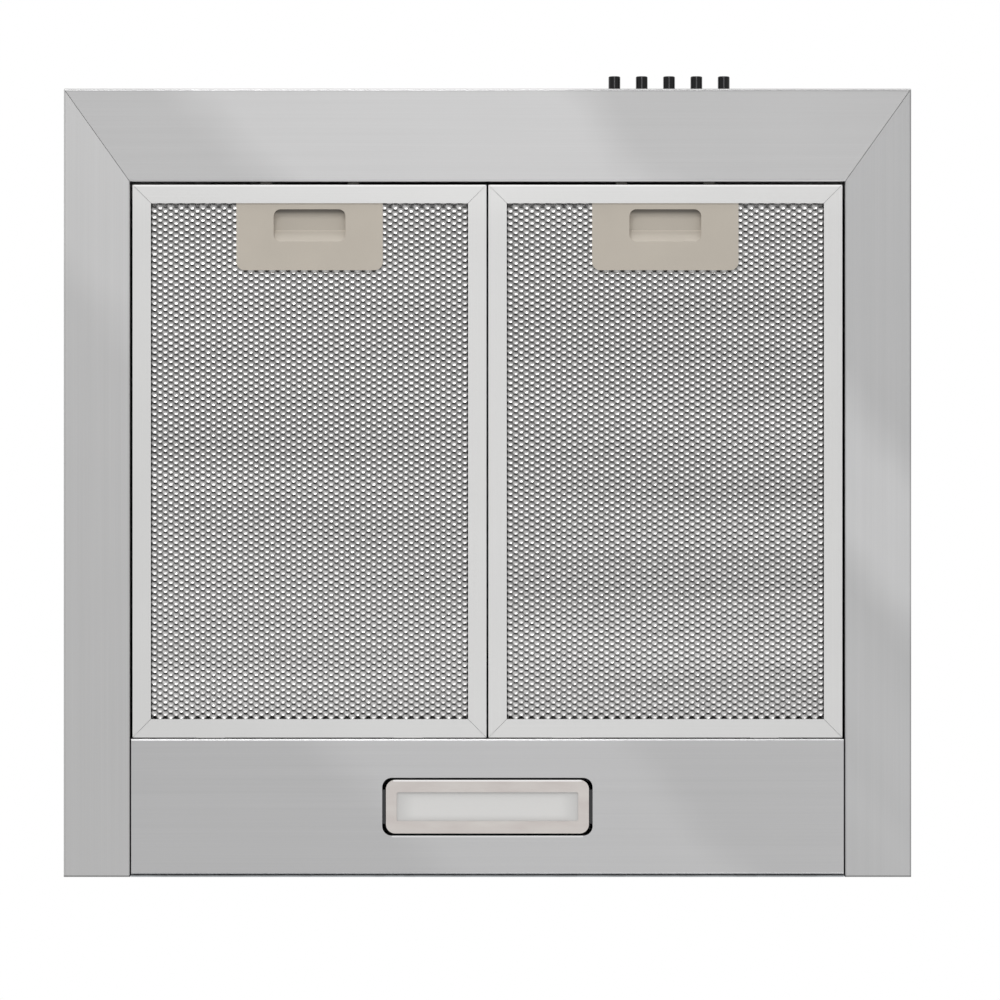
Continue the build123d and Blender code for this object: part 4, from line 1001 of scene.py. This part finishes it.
@dataclass
class CoilSpring:
    """Coil spring between a fixed seat at its rear end and a piece that presses it back."""

    name: str
    node: str
    body: str
    joint: str
    centre: tuple[float, float]
    finish: Material
    travel: float
    wire: float
    pitch: float
    finish_slot: str = "machined_steel"
    points_a_turn: int = 20
    wire_sides: int = 8

    def build(self) -> None:
        """Wind the spring along Y between the ends of its node."""
        low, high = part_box(self.node)
        radius = (high.z - low.z) / 2 - self.wire
        length = high.y - low.y
        tree = NodeTree(
            f"{self.name}_tree",
            {
                "Radius": radius,
                "Wire": self.wire,
                "Length": length - 2 * self.wire,
                "Turns": (length - 2 * self.wire) / self.pitch,
                "Centre X": self.centre[0],
                "Start Y": low.y + self.wire,
                "Centre Z": self.centre[1],
            },
            {"Points": self.points_a_turn},
        )
        helix = tree.node(
            "GeometryNodeCurveSpiral",
            {
                "Resolution": tree.value("Points"),
                "Rotations": tree.value("Turns"),
                "Start Radius": tree.value("Radius"),
                "End Radius": tree.value("Radius"),
                "Height": tree.value("Length"),
            },
        )
        values = {"Resolution": self.wire_sides, "Radius": tree.value("Wire")}
        section = tree.node("GeometryNodeCurvePrimitiveCircle", values)
        values = {"Curve": helix.outputs[0], "Profile Curve": section.outputs[0], "Fill Caps": True}
        wound = tree.node("GeometryNodeCurveToMesh", values).outputs[0]
        place = tree.point(*(tree.value(name) for name in ("Centre X", "Start Y", "Centre Z")))
        values = {"Geometry": wound, "Translation": place, "Rotation": (-math.pi / 2, 0.0, 0.0)}
        tree.close(tree.node("GeometryNodeTransform", values).outputs[0])
        piece = tree.run(self.name, self.finish)
        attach(piece, self.body)
        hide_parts(self.node)
        keep = (length - self.travel) / length
        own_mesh(piece)
        LOG.info("wound %s, which keeps %.2f of its length", self.name, keep)


@dataclass
class Filter(SubAssembly):
    """One grease filter: rails, two expanded sheets, core, latch and seat."""

    side: Side
    plate_keep: float = 4.0 * MM
    hook_reach: float = 4.6 * MM
    latch_depth: float = 47.4 * MM
    pocket_front: float = 4.2 * MM
    latch_travel: float = 6.5 * MM
    spring_wire: float = 0.25 * MM
    spring_pitch: float = 1.7 * MM

    def looks(self) -> Looks:
        """Finishes of the filter.

        Returns:
            The nodes of each finish.
        """
        word = self.side.value
        low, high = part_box(f"filter_frame_{word}")
        rear = high.y - self.hook_reach
        centre = ((low.x + high.x) / 2, (low.y + rear) / 2)
        half = ((high.x - low.x) / 2, (rear - low.y) / 2)
        low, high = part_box(f"latch_{word}")
        edge = high.y - self.latch_depth
        beige = LatchPlastic(name=f"latch_plastic_{word}", edge=edge, face=low.z, pocket=self.pocket_front)
        return {
            RailAluminium(f"rail_aluminium_{word}", centre, half): (f"filter_frame_{word}",),
            PleatedFoil(f"pleated_foil_{word}"): (f"filter_core_{word}",),
            beige: (f"latch_{word}", f"latch_seat_{word}"),
        }

    def wind(self) -> None:
        """Wind the two springs behind the latch."""
        word = self.side.value
        node = f"latch_springs_{word}"
        low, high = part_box(node)
        outer, level = (high.z - low.z) / 2, (low.z + high.z) / 2
        wire = TurnedSteel(f"latch_wire_{word}", WIRE_LINES).material()
        sizes = (self.latch_travel, self.spring_wire, self.spring_pitch)
        for number, across in enumerate((low.x + outer, high.x - outer), 1):
            names = (f"latch_spring_{word}_{number}", node, f"filter_{word}", f"latch_{word}_slide")
            CoilSpring(*names, (across, level), wire, *sizes).build()

    def extras(self) -> None:
        """Build the springs and the two expanded sheets."""
        self.wind()
        word = self.side.value
        body = f"filter_{word}"
        low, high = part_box(f"latch_{word}")
        half = (high.x - low.x) / 2 - self.plate_keep
        cut = (half, (low.x + high.x) / 2, high.y - self.plate_keep)
        face = MeshAluminium(f"mesh_face_{word}")
        ExpandedSheet(f"filter_mesh_{word}", body, face.material(), cut).build()
        back = MeshAluminium(f"mesh_back_{word}")
        ExpandedSheet(f"filter_back_{word}", body, back.material(), None, -1.0, MeshCell(sides=6)).build()


@dataclass
class Canopy(SubAssembly):
    """Skirt strips, dome, lamp panel, back plate and their screws."""

    bezel_gap: float = 1.55 * MM
    bezel_corner: float = 4.0 * MM

    def looks(self) -> Looks:
        """Finishes of the canopy, each sheet with its brushed direction, stripes of painted sheen and painted
        lines along its edges.

        Returns:
            The nodes of each finish.
        """
        front, right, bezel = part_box("front_skirt")[0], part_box("right_skirt")[1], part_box("lamp_bezel")[1]
        # painted shade along the front fold, dimming its highlight
        fold = EdgeLine(front.y, width=1.8 * MM, gain=-0.26, top=3.0 * MM)
        # painted shade along the rear ends of the side skirts
        rear = EdgeLine(right.y - 1.0 * MM, width=2.0 * MM, gain=-0.45, top=1.5 * MM)
        # painted shade along the right skirt's outer edge
        side = EdgeLine(right.x - 0.7 * MM, width=1.0 * MM, gain=-0.40, top=1.5 * MM, crosswise=False)
        reach = bezel.x - self.bezel_corner
        # painted highlight along the rear edge of the lamp cut-out
        cut = EdgeLine(bezel.y + self.bezel_gap, width=0.9 * MM, gain=0.8, top=4.0 * MM, reach=reach)
        # stripes of painted sheen on the right skirt
        streaks_and_sheen_bands = ((0.345, 0.42, 0.20), (0.26, 0.31, 0.05), (0.21, 0.235, 0.04))
        # one steel, made a little paler or darker on each sheet as painted light
        sheets = (
            ("front", "front_skirt", Grain.ACROSS, (0.498, 0.496, 0.497), ((0.235, 0.43, 0.17),), (fold,)),
            ("left", "left_skirt", Grain.DEEP, (0.49, 0.488, 0.488), ((0.09, 0.30, 0.12),), (rear,)),
            ("right", "right_skirt", Grain.DEEP, (0.460, 0.460, 0.462), streaks_and_sheen_bands, (rear, side)),
            ("panel", "lamp_panel", Grain.ACROSS, (0.468, 0.467, 0.470), ((-0.02, 0.14, 0.09),), (cut,)),
        )
        looks: Looks = {
            BrushedSteel(f"steel_{word}", grain, colour, sheen_bands=sheen_bands, edges=edges): (node,)
            for word, node, grain, colour, sheen_bands, edges in sheets
        }
        looks[BrushedSteel("steel_dome", Grain.ACROSS, contrast=0.08)] = ("canopy_dome",)
        looks[ZincSheet("zinc_back")] = ("back_plate",)
        screw = TurnedSteel("zinc_screw", (700.0, 700.0, 700.0), (0.52, 0.52, 0.50), 0.3)
        looks[screw] = ("body_screws", "blower_screws", "chimney_screws")
        return looks


@dataclass
class Lamp(SubAssembly):
    """Lamp behind the panel."""

    lens_half: tuple[float, float] = (64.3 * MM, 10.3 * MM)
    # width of the painted highlight along the trim's front edge
    trim_edge: float = 0.9 * MM
    trim_corner: float = 5.0 * MM

    def looks(self) -> Looks:
        """Finishes of the lamp.

        Returns:
            The nodes of each finish.
        """
        low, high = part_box("lamp_bezel")
        middle = ((low.x + high.x) / 2, (low.y + high.y) / 2)
        # painted highlight along the trim's front edge
        front = EdgeLine(low.y, self.trim_edge, gain=0.9, top=low.z + MM, reach=high.x - self.trim_corner)
        return {
            SatinTrim("lamp_trim", front): ("lamp_bezel",),
            FrostedLens("lamp_frost", middle, self.lens_half): ("lamp_diffuser",),
            MouldedPlastic("white_case", (0.62, 0.62, 0.60), 0.42): ("lamp_case", "lamp_driver", "capacitor"),
            GlossPlastic("board_mask", (0.55, 0.58, 0.55)): ("lamp_board",),
            # the bracket is made black as painted shade for the gap where it shows
            MouldedPlastic("black_coat", (0.018, 0.019, 0.021), 0.5): ("lamp_bracket",),
        }


@dataclass
class Controls(SubAssembly):
    """Push buttons with their switches, and the control box."""

    count: int = 5
    travel: float = 3.8 * MM
    spring_wire: float = 0.2 * MM
    spring_pitch: float = 2.0 * MM

    def looks(self) -> Looks:
        """Finishes of the controls, with a cap of its own for each button.

        Returns:
            The nodes of each finish.
        """
        looks: Looks = {
            MouldedPlastic("switch_black", (0.022, 0.022, 0.024), 0.5): ("switch_bank",),
            ZincSheet("zinc_box"): ("switch_bracket", "control_box", "control_box_lid"),
            MouldedPlastic("gland_black", (0.020, 0.020, 0.021), 0.45): ("mains_gland",),
        }
        for number in range(1, self.count + 1):
            low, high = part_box(f"button_{number}")
            middle, radius = (low.x + high.x) / 2, (high.x - low.x) / 2
            cap = ButtonPlastic(name=f"button_plastic_{number}", middle=middle, radius=radius)
            looks[cap] = (f"button_{number}",)
        return looks

    def extras(self) -> None:
        """Wind one spring behind each button."""
        low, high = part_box("button_springs")
        wire = TurnedSteel("button_wire", WIRE_LINES).material()
        sizes = (self.travel, self.spring_wire, self.spring_pitch)
        for number in range(1, self.count + 1):
            left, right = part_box(f"button_{number}")
            centre = ((left.x + right.x) / 2, (low.z + high.z) / 2)
            names = (f"button_spring_{number}", "button_springs", "hood", f"button_{number}_push")
            CoilSpring(*names, centre, wire, *sizes).build()


@dataclass
class Blower(SubAssembly):
    """Blower casing, motor, impeller, duct collar and dampers."""

    def looks(self) -> Looks:
        """Finishes of the blower.

        Returns:
            The nodes of each finish.
        """
        casing = MouldedPlastic("casing_grey", (0.075, 0.080, 0.085), 0.5)
        fan = MouldedPlastic("fan_black", (0.028, 0.028, 0.030), 0.42)
        turned = TurnedSteel("turned_steel", (60.0, 4000.0, 60.0))
        return {
            casing: ("scroll_front", "scroll_rear", "damper_left", "damper_right"),
            fan: ("inlet_guard", "impeller", "outlet_collar"),
            Rubber("mount_rubber"): ("blower_mounts",),
            MouldedPlastic("motor_lacquer", (0.16, 0.165, 0.17), 0.35, 0.1): ("motor_can",),
            turned: ("motor_bearings", "motor_shaft", "impeller_nut", "damper_pin"),
            Laminated("iron_stack"): ("motor_stator", "motor_rotor"),
        }


@dataclass
class Chimney(SubAssembly):
    """Two-part chimney cover and its wall bracket."""

    def looks(self) -> Looks:
        """Finishes of the covers and the bracket with their nodes."""
        return {
            BrushedSteel("steel_lower_cover", Grain.UPRIGHT): ("chimney_lower",),
            BrushedSteel("steel_upper_cover", Grain.UPRIGHT, (0.45, 0.446, 0.45)): ("chimney_upper",),
            ZincSheet("zinc_bracket"): ("chimney_bracket",),
        }


@dataclass(frozen=True)
class SoftLamp:
    """Soft rectangular lamp: its place, width and height, watts and the point that it faces."""

    name: str
    place: Triple
    size: tuple[float, float]
    power: float
    aim: Triple

    def build(self) -> None:
        """Hang the lamp, unseen by the camera."""
        data = bpy.data.lights.new(self.name, "AREA")
        data.shape = "RECTANGLE"
        data.size, data.size_y = self.size
        data.energy = self.power
        lamp = bpy.data.objects.new(self.name, data)
        lamp.location = self.place
        towards = Vector(self.aim) - Vector(self.place)
        lamp.rotation_euler = towards.to_track_quat("-Z", "Y").to_euler()
        lamp.visible_camera = False
        bpy.context.scene.collection.objects.link(lamp)


@dataclass
class Studio:
    """Camera, pale floor, world and soft lamps."""

    distance: float = 3.8
    frame_width: float = 0.7077
    aim: tuple[float, float] = (0.0089, -0.2668)
    floor_drop: float = 6.5
    floor_reach: float = 60.0
    floor_glow: float = 0.8
    world_light: float = 0.66
    sensor: float = 36.0
    under: Triple = (0.0, -0.28, 0.0)
    dome: Triple = (0.0, -0.2, 0.3)

    def lamps(self) -> tuple[SoftLamp, ...]:
        """The soft lamps round the hood."""
        return (
            SoftLamp("key", (-0.5, -2.4, -2.0), (1.2, 0.7), 21.0, self.under),
            SoftLamp("low_fill", (0.9, 1.5, -2.4), (1.4, 1.0), 7.0, self.under),
            SoftLamp("below", (0.0, -0.28, -5.2), (3.2, 3.2), 4.5, self.under),
            SoftLamp("spark", (0.12, -0.75, -3.6), (0.12, 0.12), 0.7, self.under),
            SoftLamp("front_strip", (0.0, -2.6, -0.35), (2.8, 0.5), 14.0, self.under),
            SoftLamp("above", (-1.8, -1.6, 3.2), (3.2, 3.2), 26.0, self.dome),
        )

    def camera(self) -> None:
        """Put the camera straight below the hood, with the front at the top of the picture."""
        data = bpy.data.cameras.new("view")
        data.sensor_width = self.sensor
        data.lens = self.sensor * self.distance / self.frame_width
        data.clip_end = 100.0
        camera = bpy.data.objects.new("view", data)
        camera.location = (*self.aim, -self.distance)
        camera.rotation_euler = (math.pi, 0.0, 0.0)
        bpy.context.scene.collection.objects.link(camera)
        bpy.context.scene.camera = camera

    def seen(self, paint: Paint) -> Num:
        """Tell the rays that see the background, directly or in a mirror or glass.

        Args:
            paint: Tree that asks.

        Returns:
            1 for such a ray, else 0.
        """
        path = paint.node("ShaderNodeLightPath").outputs
        camera, glossy, through = (
            Num(paint, path[f"Is {kind} Ray"]) for kind in ("Camera", "Glossy", "Transmission")
        )
        return 1.0 - (1.0 - camera) * (1.0 - glossy) * (1.0 - through)

    def world(self) -> None:
        """White world, dimmer as a lamp than as a background."""
        paint = Paint("studio", world=True)
        strength = self.seen(paint) * (1.0 - self.world_light) + self.world_light
        back = paint.node("ShaderNodeBackground", {"Color": WHITE, "Strength": strength})
        paint.node("ShaderNodeOutputWorld", {"Surface": back.outputs[0]})
        bpy.context.scene.world = paint.owner

    def floor(self) -> None:
        """Pale floor far below the camera, which still takes the hood's shadow."""
        mesh = bpy.data.meshes.new("floor")
        reach = self.floor_reach
        corners = [(-reach, -reach), (reach, -reach), (reach, reach), (-reach, reach)]
        mesh.from_pydata([(x, y, -self.floor_drop) for x, y in corners], [], [(0, 1, 2, 3)])
        floor = bpy.data.objects.new("floor", mesh)
        bpy.context.scene.collection.objects.link(floor)
        paint = Paint("pale_floor")
        lit = paint.node("ShaderNodeBsdfDiffuse", {"Color": (0.90, 0.90, 0.90, 1.0)})
        glow = paint.node("ShaderNodeEmission", {"Color": WHITE, "Strength": 1.0})
        values = {0: self.seen(paint) * self.floor_glow, 1: lit.outputs[0], 2: glow.outputs[0]}
        mixed = paint.node("ShaderNodeMixShader", values)
        paint.node("ShaderNodeOutputMaterial", {"Surface": mixed.outputs[0]})
        mesh.materials.append(paint.owner)

    def build(self) -> None:
        """Set the whole stage."""
        self.camera()
        self.world()
        self.floor()
        for lamp in self.lamps():
            lamp.build()
        bpy.context.scene.view_settings.view_transform = "Standard"
        LOG.info("set the studio")


def main() -> None:
    logging.basicConfig(level=logging.INFO, format="%(name)s %(message)s")
    Studio().build()
    for part in (Canopy(), Lamp(), Controls(), Blower(), Chimney(), *map(Filter, Side)):
        part.build()


if __name__ == "__main__":
    main()
